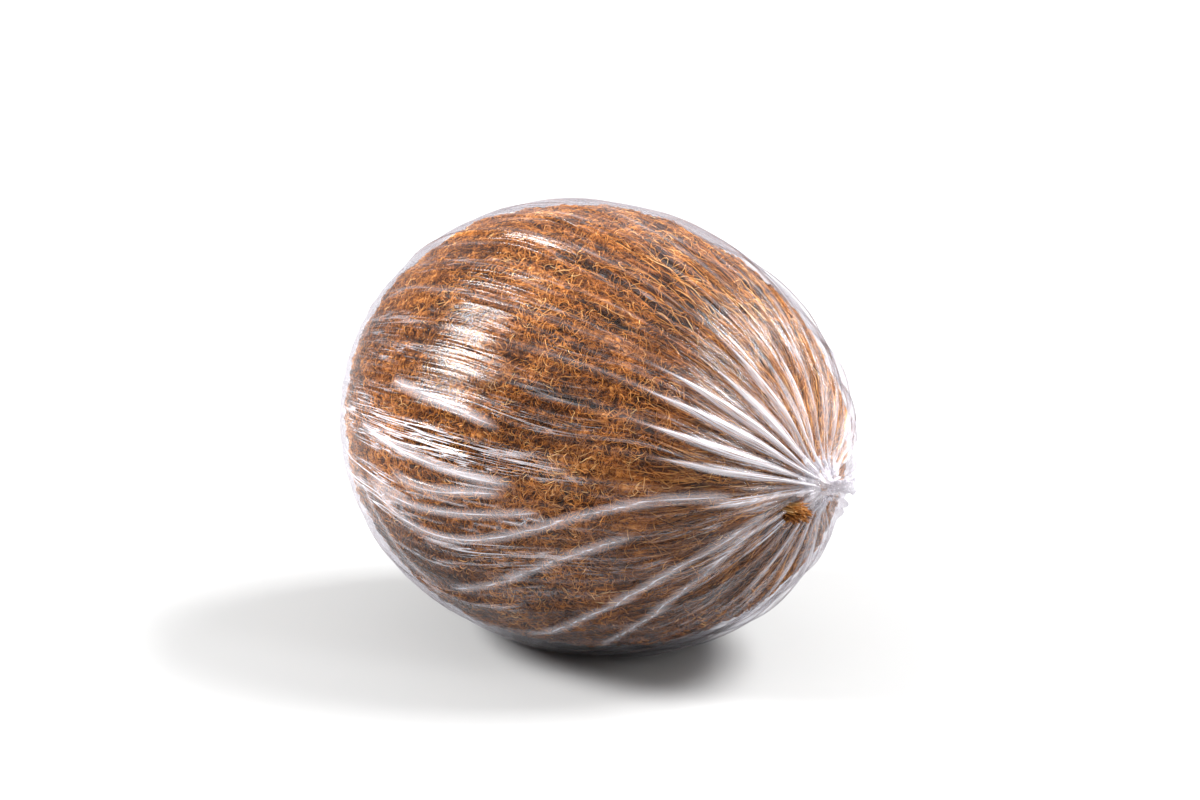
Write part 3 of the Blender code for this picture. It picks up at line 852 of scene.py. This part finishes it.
def ray_white(folds, turn, profile):
    """How white the folds' crests are at all columns: pointed bands from the gather back, partly milk of
    the doubled film and partly painted highlight.
    """
    strength = np.array(RAY_STRENGTHS)[None, :]
    reach = RAY_REACHES[0] + (RAY_REACHES[1] - RAY_REACHES[0]) * strength
    gone = smooth(*RAY_POINT, turn / reach)
    crest = profile ** RAY_SHARPNESS - np.repeat(gone, len(STRIP), axis=1)
    return np.repeat(strength, len(STRIP), axis=1) * smooth(*RAY_EDGE, crest)


def film_columns(folds, turn):
    """Angles of all columns on each row, with their fold's profile and place in the gap."""
    angle = folds[None, :, 0] + folds[None, :, 4] * np.sin(FOLD_WAVE * turn)
    before = np.roll(angle, 1, axis=1)
    before[:, 0] -= TAU
    after = np.roll(angle, -1, axis=1)
    after[:, -1] += TAU
    room = FOLD_CROWDING * np.minimum(angle - before, after - angle)
    half = np.minimum(0.8 * FOLD_HALF_WIDTH / ring_radius(turn), room)
    around, profile, gap = [], [], []
    for place in STRIP:
        if abs(place) <= 1.0:
            around.append(angle + half * place)
            profile.append(np.full(angle.shape, (1.0 - abs(place)) ** 1.35))
            gap.append(np.zeros(angle.shape))
            continue
        share = abs(place) - 1.0
        edge = 0.5 * ((before if place < 0.0 else after) - angle)
        foot = half if place > 0.0 else -half
        around.append(angle + foot + (edge - foot) * share)
        profile.append(np.zeros(angle.shape))
        gap.append(1.0 - (1.0 - share) ** 2)
    shape = (len(turn), -1)
    profile = np.stack(profile, -1).reshape(shape)
    gap = np.stack([g + np.zeros(angle.shape) for g in gap], -1).reshape(shape)
    return np.stack(around, -1).reshape(shape), profile, gap, half


def crease_field(turn, around):
    """Fine creases in the film: their height, and how strongly a place is creased."""
    rng = np.random.default_rng(17)
    total = np.zeros(turn.shape)
    strength = np.zeros(turn.shape)
    radius = ring_radius(turn)
    for index in range(CREASE_COUNT):
        start = CREASE_STARTS[0] + CREASE_STARTS[1] * rng.random() ** 1.5
        length = rng.uniform(*CREASE_LENGTHS)
        angle = TAU * rng.random()
        drift = math.radians(rng.normal() * CREASE_DRIFTS[0 if index % 4 == 0 else 1])
        height = rng.uniform(*CREASE_HEIGHTS)
        half_width = rng.uniform(*CREASE_HALF_WIDTHS)
        share = (turn - start) / length
        inside = smooth(0.0, 0.25, share) * smooth(1.0, 0.6, share)
        line = angle + drift * np.sin(1.2 * (turn - start))
        away = np.abs((around - line + math.pi) % TAU - math.pi) * radius / half_width
        profile = np.clip(1.0 - away, 0.0, 1.0) ** 1.3 * inside
        total = np.maximum(total, height * profile)
        strength = np.maximum(strength, profile * height / CREASE_HEIGHTS[1])
    return total, strength


def shell_faces(rows, columns, keep):
    """Faces of two skins of a grid and the walls round their open edges."""
    size = rows * columns
    quads = quad_grid(rows, columns).reshape(rows - 1, columns, 4)
    outer = quads[keep]
    inner = outer[:, ::-1] + size
    walls = []
    for row, column in zip(*np.nonzero(keep)):
        a, b, c, d = quads[row, column]
        around = (
            (row > 0 and keep[row - 1, column], d, a),
            (keep[row, column - 1], a, b),
            (row < rows - 2 and keep[row + 1, column], b, c),
            (keep[row, (column + 1) % columns], c, d),
        )
        for joined, first, second in around:
            if not joined:
                walls.append((second, first, first + size, second + size))
    return outer.tolist() + inner.tolist() + walls


def skin_map(rows, columns):
    """A map with the outer skin in its lower half and the inner in its upper half."""
    def lay_out(corners, mesh):
        skin = corners // (rows * columns)
        place = corners % (rows * columns)
        u = past_seam((place % columns) / columns, mesh)
        v = (0.01 + 0.48 * (place // columns) / (rows - 1)) + 0.5 * skin
        return np.stack([u, v], -1)
    return lay_out


def film_height(folds, turn, around, profile, gap, crest, half):
    """The film's height above the smooth egg: folds, sag between them and slight waves."""
    place = egg_place(turn, around)
    spare = np.maximum(TAU / FOLD_COUNT - 2.0 * np.repeat(half, len(STRIP), axis=1), 0.0)
    sag = spare ** 2 * ring_radius(turn) / 8.0
    ruffle = np.repeat(folds[:, 3], len(STRIP))[None, :] * np.cos(0.5 * math.pi * gap)
    height = FILM_RISE + crest * profile - 1.2 * sag * gap
    height += FILM_WAVES[0] * field(place, *FILM_NOISES[0])
    height += FILM_WAVES[1] * field(grain(turn, around), *FILM_NOISES[1])
    height += np.interp(turn, STAR_TURNS, STAR_HEIGHTS)
    return height + np.interp(turn, STAR_TURNS, STAR_RUFFLE) * ruffle


def kept_film(turn, around):
    """Which of the film's faces are left: all but those of the tear round the tuft."""
    away = (around - TUFT_ANGLE + math.pi) % TAU - math.pi
    ragged = 1.0 + TEAR_RAGGED * field(egg_place(turn, around), *TEAR_NOISE)
    torn = ((turn - TEAR_TURN) / TEAR_HALF_TURN) ** 2 + (away / TEAR_HALF_ANGLE) ** 2 < ragged
    hole = torn[:-1] & torn[1:]
    return ~(hole & np.roll(hole, -1, axis=1))


def crinkle_and_glint_amount(turn, around):
    """How many fine white lines the film has here: most by the gather, where they are crinkles, and on one
    flank, where they are painted highlight streaks.
    """
    away = (around - FLANK_ANGLE + math.pi) % TAU - math.pi
    flank = np.exp(-((turn - FLANK_TURN) / FLANK_HALF_TURN) ** 2 - (away / FLANK_HALF_ANGLE) ** 2)
    return np.maximum(0.2 + 0.8 * smooth(TENSE_TO, TENSE_FROM, turn), 1.5 * flank)


def film_sheet(material):
    """The film: a thin closed shell with folds and creases, torn open round the tuft."""
    folds = fold_list()
    share = np.linspace(0.0, 1.0, FILM_ROWS)[:, None]
    even, power = ROW_CROWDING
    turn = FILM_FIRST + (FILM_LAST - FILM_FIRST) * (even * share + (1.0 - even) * share ** power)
    around, profile, gap, half = film_columns(folds, turn)
    columns = around.shape[1]
    crest = np.repeat(fold_crest(folds, turn), len(STRIP), axis=1)
    ray = ray_white(folds, turn, profile)
    turn = np.broadcast_to(turn, around.shape)
    crease, strength = crease_field(turn, around)
    fold_away, fold_white = long_fold_field(turn, around)
    long_fold = np.clip(1.0 - np.abs(fold_away) / LONG_FOLD_HALF_WIDTH, 0.0, 1.0) * fold_white
    height = crease + film_height(folds, turn, around, profile, gap, crest, half)
    height += LONG_FOLD_HEIGHT * long_fold
    outer = placed(egg(turn, around, height), 0.0)
    inner = placed(egg(turn, around, height - FILM_THICK), FILM_THICK)
    points = np.concatenate([outer.reshape(-1, 3), inner.reshape(-1, 3)]) / MM - NUT_MIDDLE
    faces = shell_faces(FILM_ROWS, columns, kept_film(turn, around))
    worn = np.clip(strength + 0.9 * profile * np.clip(crest / FOLD_HEIGHTS[1], 0.0, 1.0), 0.0, 1.0)
    values = {
        "crease": np.tile(worn.ravel(), 2),
        "gathered": np.tile(smooth(math.radians(12.0), math.radians(5.0), turn).ravel(), 2),
        "crinkle_and_glint": np.tile(crinkle_and_glint_amount(turn, around).ravel(), 2),
        "ray": np.tile(ray.ravel(), 2),
        "fold_away": np.tile(fold_away.ravel(), 2),
        "fold_white": np.tile(fold_white.ravel(), 2),
    }
    item = make_mesh("film_sheet", points, faces, material, 0.0, skin_map(FILM_ROWS, columns), values)
    strands = grain(turn, around).reshape(-1, 3)
    add_vector(item, "grain", np.concatenate([strands, strands]))
    trim_loose(item)
    return item


def trim_loose(item):
    """Takes out points that no face uses."""
    mesh = item.data
    used = np.zeros(len(mesh.vertices), dtype=bool)
    corners = np.zeros(len(mesh.loops), dtype=np.int32)
    mesh.loops.foreach_get("vertex_index", corners)
    used[corners] = True
    if used.all():
        return
    work = bmesh.new()
    work.from_mesh(mesh)
    work.verts.ensure_lookup_table()
    bmesh.ops.delete(work, geom=[work.verts[i] for i in np.nonzero(~used)[0]], context="VERTS")
    work.to_mesh(mesh)
    work.free()


# How milky the film is all over, on creases, at its edge, on thin lines and white rays (both partly
# painted highlight), close to the gather, and on the long folds' bands and broken crests (the crests
# painted highlight).
FILM_HAZE = {
    "base": 0.0, "crease": 0.05, "edge": 0.04, "line": 0.48, "ray": 0.62, "gathered": 0.10,
    "band": 0.16, "crest": 0.36,
}
KNOT_HAZE = {
    "base": 0.06, "crease": 1.20, "edge": 0.20, "line": 0.35, "ray": 0.0, "gathered": 0.08,
    "band": 0.0, "crest": 0.0,
}

# The film's noises, drawn out along the nut: how much, and how close they are.
WIDE_LINES = (0.30, 0.34)
FINE_LINES = (0.26, 0.55)
HAIR_LINES = (0.24, 1.7)
LINE_WIDTHS = {"hair": 0.035, "wide": 0.024}
# Half width of the painted highlight line on a long fold's crest.
CREST_HALF_WIDTH = 0.24
FOLD_WAVER = 1.5
FILM_RELIEF = 0.00022
FILM_GLOSS = (0.010, 0.15)
KNOT_GLOSS = (0.045, 0.17)
RIM_SHINE = 0.38
CLEAR_FILM = (0.985, 0.985, 0.99, 1.0)
FILM_RIM = (0.76, 0.74, 0.78, 1.0)
MILKY_FILM = (0.90, 0.87, 0.92, 1.0)


def tent(kit, value, half_width):
    """Goes from 1 where a value is 0 down to 0 at a half width from there."""
    share = kit.maths("DIVIDE", kit.maths("ABSOLUTE", value), half_width)
    return kit.maths("SUBTRACT", 1.0, share, clamp=True)


def thin_line(kit, noise, half_width):
    """Thin lines where a noise passes its middle value."""
    return tent(kit, kit.maths("SUBTRACT", noise, 0.5), half_width)


def drawn_out(kit, strands, squeeze, scale):
    """A plain noise drawn out along the strands."""
    return kit.noise(kit.stretched(strands, (1.0, 1.0, squeeze)), scale, 1.0, 0.5)


def stray_lines(kit, strands, wide, hair):
    """Fine white lines that come in patches: crinkles where the film is tense, and painted highlight
    streaks on one flank.
    """
    patchy = kit.noise(kit.stretched(strands, (1.0, 1.0, 0.8)), 0.16, 2.0, 0.6)
    patchy = kit.maths("MULTIPLY", kit.maths("SUBTRACT", patchy, 0.47), 6.0, clamp=True)
    hairs = thin_line(kit, hair, LINE_WIDTHS["hair"])
    lines = kit.maths("MAXIMUM", hairs, thin_line(kit, wide, LINE_WIDTHS["wide"]))
    return kit.maths("MULTIPLY", lines, kit.maths("MULTIPLY", patchy, kit.value("crinkle_and_glint")))


def long_fold_marks(kit, fine, hair):
    """The long folds' soft milky bands and the painted highlights along their thin broken crests."""
    white = kit.value("fold_white")
    waver = kit.maths("MULTIPLY", kit.maths("SUBTRACT", fine, 0.5), FOLD_WAVER)
    away = kit.maths("ADD", kit.value("fold_away"), waver)
    band = kit.maths("MULTIPLY", tent(kit, away, LONG_FOLD_HALF_WIDTH), white)
    broken = kit.maths("ADD", kit.maths("MULTIPLY", hair, 3.4), -1.2, clamp=True)
    # Painted highlight: a thin broken white line along each long fold's crest.
    crest = kit.maths("MULTIPLY", tent(kit, away, CREST_HALF_WIDTH), kit.maths("MULTIPLY", broken, white))
    return band, crest


def film_normal(kit, wide, fine, band):
    """The film's slight relief: ridges along the nut, long folds and a faint unevenness."""
    place = kit.add("ShaderNodeTexCoord").outputs["Object"]
    height = kit.multiply_add(thin_line(kit, wide, 0.11), 0.60, kit.maths("MULTIPLY", wide, 0.5))
    height = kit.multiply_add(band, 0.5, height)
    height = kit.multiply_add(thin_line(kit, fine, 0.10), 0.42, height)
    height = kit.multiply_add(kit.noise(place, 300.0, 1.0, 0.5), 0.05, height)
    return kit.bump(height, 1.0, FILM_RELIEF)


def film_milk(kit, haze, facing, hair, marks):
    """How milky the film is from place to place, painted highlight lines included."""
    milky = kit.maths("MULTIPLY", kit.maths("POWER", facing, 4.0), haze["edge"])
    worn = kit.maths("MULTIPLY", kit.maths("POWER", kit.value("crease"), 2.0), hair)
    # The white rays: milk of the doubled film, partly painted highlight.
    ray = kit.maths("MULTIPLY", kit.value("ray"), kit.multiply_add(hair, 2.3, -0.5))
    marks = {"crease": worn, "gathered": kit.value("gathered"), "ray": ray, **marks}
    for key, amount in marks.items():
        milky = kit.multiply_add(amount, haze[key], milky)
    return kit.maths("ADD", milky, haze["base"], clamp=True)


def film_material(name, haze, gloss, roughness):
    """Thin clear film: see-through and glossy, milky on its creases, lines and white rays, with painted
    highlights on some lines, rays and fold crests.
    """
    kit = Nodes(name)
    strands = kit.add("ShaderNodeAttribute", attribute_name="grain").outputs["Vector"]
    wide, fine, hair = [drawn_out(kit, strands, *noise) for noise in (WIDE_LINES, FINE_LINES, HAIR_LINES)]
    lines = stray_lines(kit, strands, wide, hair)
    band, crest = long_fold_marks(kit, fine, hair)
    normal = film_normal(kit, wide, fine, band)
    slant = kit.add("ShaderNodeLayerWeight")
    slant.inputs["Blend"].default_value = 0.5
    kit.put(slant.inputs["Normal"], normal)
    facing = slant.outputs["Facing"]
    shine = kit.maths("MULTIPLY", kit.multiply_add(lines, 3.0, 1.0), gloss)
    shine = kit.multiply_add(kit.maths("POWER", facing, 5.0), RIM_SHINE, shine)
    milky = film_milk(kit, haze, facing, hair, {"line": lines, "band": band, "crest": crest})
    clear = kit.add("ShaderNodeBsdfTransparent")
    kit.put(clear.inputs["Color"], kit.mix(kit.maths("POWER", facing, 4.0), CLEAR_FILM, FILM_RIM))
    milk = kit.add("ShaderNodeBsdfDiffuse")
    milk.inputs["Color"].default_value = MILKY_FILM
    sheet = kit.shade(clear.outputs[0], milk.outputs[0], milky)
    mirror = kit.add("ShaderNodeBsdfGlossy")
    mirror.inputs["Color"].default_value = (1.0, 1.0, 1.0, 1.0)
    mirror.inputs["Roughness"].default_value = roughness
    kit.put(mirror.inputs["Normal"], normal)
    return kit.finish(kit.shade(sheet, mirror.outputs[0], shine))


# The gathered end: distance from the axis and height above the nut's end.
GATHER_PROFILE = (
    (5.6, 2.1), (5.0, 2.6), (4.3, 3.0), (3.5, 3.4), (2.8, 3.8), (2.2, 4.4), (1.75, 5.4),
    (1.4, 7.0), (1.25, 8.6), (1.3, 10.2), (1.5, 11.6), (1.75, 12.6), (1.6, 13.1), (0.9, 13.3),
    (0.1, 13.2),
)
GATHER_COLUMNS = 136
GATHER_ROWS = 70
GATHER_WALL = 0.10
GATHER_CRUMPLE = 0.32
PLEAT_WAVES = (11, 17, 23, 34)
PLEAT_HEIGHT = 0.62
TAIL_START = (0.35, 0.7)
TAIL_RISE = 0.12
TAIL_TWIST = math.radians(85.0)
TAIL_NARROWING = 0.28
TAIL_CLEARER = 0.45
KNOT_GRAIN = 3.0
FLAP_COUNT = 12
FLAP_ROWS = 16
FLAP_COLUMNS = 9
FLAP_START = 1.6
FLAP_RISE = 3.9
FLAP_LENGTHS = (3.0, 8.0)
FLAP_WIDTHS = (0.8, 2.0)
FLAP_WALL = 0.10
FLAP_CRUMPLE = 0.3


def grid_normals(points):
    """Outward directions of a grid that closes on itself sideways."""
    along = np.gradient(points, axis=0)
    across = np.roll(points, -1, axis=1) - np.roll(points, 1, axis=1)
    normal = np.cross(along, across)
    normal /= np.linalg.norm(normal, axis=-1, keepdims=True) + 1e-9
    return normal


def crumpled(points, size, seed, step):
    """Seeded noise on each axis at points."""
    return np.stack([field(points, size, seed + step * axis) for axis in range(3)], -1)


def pleats(angle):
    """Uneven pleats round the gather."""
    rng = np.random.default_rng(8)
    total = np.zeros(angle.shape)
    for waves in PLEAT_WAVES:
        total = total + rng.uniform(0.5, 1.0) * np.cos(waves * angle + TAU * rng.random())
    return total / 2.4


def gather_skin(share):
    """The gather's outer skin: the pleated collar, then the twisted tail."""
    profile = np.array(GATHER_PROFILE)
    knots = np.linspace(0.0, 1.0, len(profile))
    radius = np.interp(share, knots, profile[:, 0])
    height = np.interp(share, knots, profile[:, 1])
    angle = np.linspace(0.0, TAU, GATHER_COLUMNS, endpoint=False)[None, :]
    pleated = pleats(angle)
    swell = np.clip(radius / 5.0, 0.16, 0.9)
    flat = smooth(*TAIL_START, share)
    height = height + PLEAT_HEIGHT * pleated * swell * smooth(1.0, 0.55, share)
    radius = radius * (1.0 + (0.10 + 0.10 * flat) * pleated)
    turned = angle + TAIL_TWIST * flat * share
    y = radius * np.cos(turned) * (1.0 - TAIL_NARROWING * flat)
    z = radius * np.sin(turned) + TAIL_RISE * height * flat
    curve = NUT_HALF_LENGTH * (np.sqrt(np.clip(1.0 - (radius / NUT_HALF_WIDTH) ** 2, 0.0, 1.0)) - 1.0)
    x = NUT_HALF_LENGTH + curve * (1.0 - flat) + height
    points = np.stack([x + 0.0 * y, y, z], -1)
    return points + GATHER_CRUMPLE * crumpled(points, 1.3, 51, 1), flat


def gather_collar(material):
    """The pleated collar and the short twisted tail of film that stand out from it."""
    share = np.linspace(0.0, 1.0, GATHER_ROWS)[:, None]
    points, flat = gather_skin(share)
    inner = points - GATHER_WALL * grid_normals(points)
    keep = np.ones((GATHER_ROWS - 1, GATHER_COLUMNS), dtype=bool)
    faces = shell_faces(GATHER_ROWS, GATHER_COLUMNS, keep)
    both = np.concatenate([points.reshape(-1, 3), inner.reshape(-1, 3)])
    crease = np.clip(0.5 + 0.5 * field(points, 1.0, 54), 0.0, 1.0)
    crease = (crease * (1.0 - TAIL_CLEARER * flat)).ravel()
    full = np.ones(2 * crease.size)
    values = {"crease": np.tile(crease, 2), "gathered": full, "crinkle_and_glint": full}
    lay_out = skin_map(GATHER_ROWS, GATHER_COLUMNS)
    item = make_mesh("film_gather", both, faces, material, 0.0, lay_out, values)
    add_vector(item, "grain", both * KNOT_GRAIN)
    return item


def flap_skins(rng, index):
    """One flap's outer and inner skins, and how creased each of its points is."""
    angle = TAU * (index + rng.uniform(-0.3, 0.3)) / FLAP_COUNT
    length, width = rng.uniform(*FLAP_LENGTHS), rng.uniform(*FLAP_WIDTHS)
    along = np.linspace(0.0, 1.0, FLAP_ROWS)[:, None]
    across = np.linspace(-1.0, 1.0, FLAP_COLUMNS)[None, :]
    reach = FLAP_START + length * along
    taper = 0.5 + 0.5 * np.sin(math.pi * (0.15 + 0.75 * along))
    around = angle + 0.5 * width * taper * across / reach
    turn = np.arcsin(reach / NUT_HALF_WIDTH) + 0.0 * around
    settled = 1.0 - (1.0 - along) ** 1.4
    height = FLAP_RISE * (1.0 - settled) + (FILM_RISE + 0.5 + rng.uniform(0.2, 0.9)) * settled
    height = height + rng.uniform(0.5, 1.1) * (1.0 - np.abs(across)) ** 1.2 * (0.4 + 0.6 * along)
    points = egg(turn, around, height)
    rough = crumpled(points, 1.2, 60 + index, 20)
    points = points + FLAP_CRUMPLE * rough
    inner = points - FLAP_WALL * egg_normal(turn, around)
    return points, inner, np.clip(0.4 + 0.6 * rough[..., 0], 0.0, 1.0)


def open_faces(first, rows, columns):
    """Faces of two skins of an open grid and the walls round its edge."""
    size = rows * columns
    corner = first + np.arange(size).reshape(rows, columns)
    a, b = corner[:-1, :-1].ravel(), corner[1:, :-1].ravel()
    c, d = corner[1:, 1:].ravel(), corner[:-1, 1:].ravel()
    outer = np.stack([a, b, c, d], -1)
    inner = np.stack([d, c, b, a], -1) + size
    edge = np.concatenate([corner[0, :-1], corner[:-1, -1], corner[-1, :0:-1], corner[:0:-1, 0]])
    following = np.roll(edge, -1)
    walls = np.stack([edge, following, following + size, edge + size], -1)
    return outer.tolist() + inner.tolist() + walls.tolist()


def gather_flaps(material):
    """Crumpled flaps of film that lie round the collar."""
    rng = np.random.default_rng(12)
    size = FLAP_ROWS * FLAP_COLUMNS
    points, faces, crease = [], [], []
    for index in range(FLAP_COUNT):
        outer, inner, worn = flap_skins(rng, index)
        faces += open_faces(2 * size * index, FLAP_ROWS, FLAP_COLUMNS)
        points += [outer.reshape(-1, 3), inner.reshape(-1, 3)]
        crease += [worn.ravel(), worn.ravel()]
    points = np.concatenate(points)
    cells = int(math.ceil(math.sqrt(2 * FLAP_COUNT)))

    def lay_out(corners, mesh):
        part = corners // size
        place = corners % size
        u = (part % cells + 0.08 + 0.84 * (place % FLAP_COLUMNS) / (FLAP_COLUMNS - 1)) / cells
        v = (part // cells + 0.08 + 0.84 * (place // FLAP_COLUMNS) / (FLAP_ROWS - 1)) / cells
        return np.stack([u, v], -1)

    full = np.ones(len(points))
    values = {"crease": np.concatenate(crease), "gathered": full, "crinkle_and_glint": full}
    item = make_mesh("film_flaps", points, faces, material, 0.0, lay_out, values)
    add_vector(item, "grain", points * KNOT_GRAIN)
    return item


# The studio: the floor, how bright the surroundings are to the part and to the camera, and
# the lights: name, degrees round and above as the camera's are counted, distance, size, power.
FLOOR_RADIUS = 4.0
FLOOR_SIDES = 96
WORLD_STRENGTH = 0.2
BACKDROP_STRENGTH = 0.95
FLOOR_TONES = (0.40, 0.43)
SOFT_BOXES = (
    ("left light", -50.0, 34.0, 1.6, 0.62, 0.52, 57.0),
    ("right light", 140.0, 49.0, 1.6, 0.92, 0.58, 62.0),
    ("side light", 92.0, 26.0, 1.6, 0.34, 0.60, 8.0),
    ("top light", 40.0, 86.0, 1.9, 3.20, 3.20, 24.0),
)


def direction(around, above):
    """A direction from the nut, counted round it as the camera's is."""
    flat = math.cos(above)
    return Vector((math.sin(around) * flat, -math.cos(around) * flat, math.sin(above)))


def soft_box(name, around, above, distance, width, height, power):
    data = bpy.data.lights.new(name, "AREA")
    data.shape = "RECTANGLE"
    data.size, data.size_y = width, height
    data.energy = power
    item = linked(name, data)
    toward = direction(math.radians(around), math.radians(above))
    item.location = Vector(NUT_MIDDLE * MM) + toward * distance
    item.rotation_euler = toward.to_track_quat("Z", "Y").to_euler()


def camera():
    data = bpy.data.cameras.new("camera")
    data.lens = CAMERA_LENS
    data.sensor_width = CAMERA_SENSOR
    data.clip_start = 0.05
    item = linked("camera", data)
    toward = direction(CAMERA_AROUND, CAMERA_ABOVE)
    right = Vector((math.cos(CAMERA_AROUND), math.sin(CAMERA_AROUND), 0.0))
    up = toward.cross(right)
    aim = Vector(NUT_MIDDLE * MM) + up * AIM_UP + right * AIM_RIGHT
    item.location = aim + toward * CAMERA_DISTANCE
    item.rotation_euler = toward.to_track_quat("Z", "Y").to_euler()
    bpy.context.scene.camera = item


def floor():
    """A wide plain pale floor."""
    mesh = bpy.data.meshes.new("floor")
    angles = [TAU * k / FLOOR_SIDES for k in range(FLOOR_SIDES)]
    ring = [(FLOOR_RADIUS * math.cos(angle), FLOOR_RADIUS * math.sin(angle), 0.0) for angle in angles]
    mesh.from_pydata(ring, [], [tuple(range(FLOOR_SIDES))])
    kit = Nodes("pale floor")
    shader = kit.add("ShaderNodeBsdfPrincipled")
    place = kit.add("ShaderNodeTexCoord").outputs["Object"]
    low, high = [(tone, tone, tone, 1.0) for tone in FLOOR_TONES]
    tone = kit.mix(kit.noise(place, 3.0, 2.0, 0.5), low, high)
    kit.put(shader.inputs["Base Color"], tone)
    shader.inputs["Roughness"].default_value = 0.9
    shader.inputs["Specular IOR Level"].default_value = 0.1
    mesh.materials.append(kit.finish(shader.outputs[0]))
    linked("floor", mesh)


def studio():
    """White surroundings and soft lights at either side."""
    world = bpy.data.worlds.new("studio")
    world.use_nodes = True
    tree = world.node_tree
    background = tree.nodes["Background"]
    background.inputs["Color"].default_value = (1.0, 1.0, 1.0, 1.0)
    background.inputs["Strength"].default_value = WORLD_STRENGTH
    backdrop = tree.nodes.new("ShaderNodeBackground")
    backdrop.inputs["Strength"].default_value = BACKDROP_STRENGTH
    path = tree.nodes.new("ShaderNodeLightPath")
    either = tree.nodes.new("ShaderNodeMixShader")
    tree.links.new(path.outputs["Is Camera Ray"], either.inputs[0])
    tree.links.new(background.outputs[0], either.inputs[1])
    tree.links.new(backdrop.outputs[0], either.inputs[2])
    tree.links.new(either.outputs[0], tree.nodes["World Output"].inputs["Surface"])
    bpy.context.scene.world = world
    bpy.context.scene.view_settings.view_transform = "Standard"
    for settings in SOFT_BOXES:
        soft_box(*settings)


def main():
    coir = coir_material()
    felt = fibre_material("coir_felt", *FELT_COLOURS)
    long_felt = fibre_material("coir_strand", *STRAND_COLOURS)
    film = film_material("film", FILM_HAZE, *FILM_GLOSS)
    knot = film_material("film_knot", KNOT_HAZE, *KNOT_GLOSS)
    pieces = [nut_body(coir)]
    pieces += felt_fibres(felt)
    pieces += long_fibres(long_felt)
    pieces.append(tuft(long_felt))
    sheet = film_sheet(film)
    gathers = [gather_collar(knot), gather_flaps(knot)]
    for piece in pieces:
        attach(piece, "root")
        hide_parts("coconut")
    for piece in [sheet] + gathers:
        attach(piece, "root")
        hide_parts("film_wrap")
    camera()
    floor()
    studio()


main()
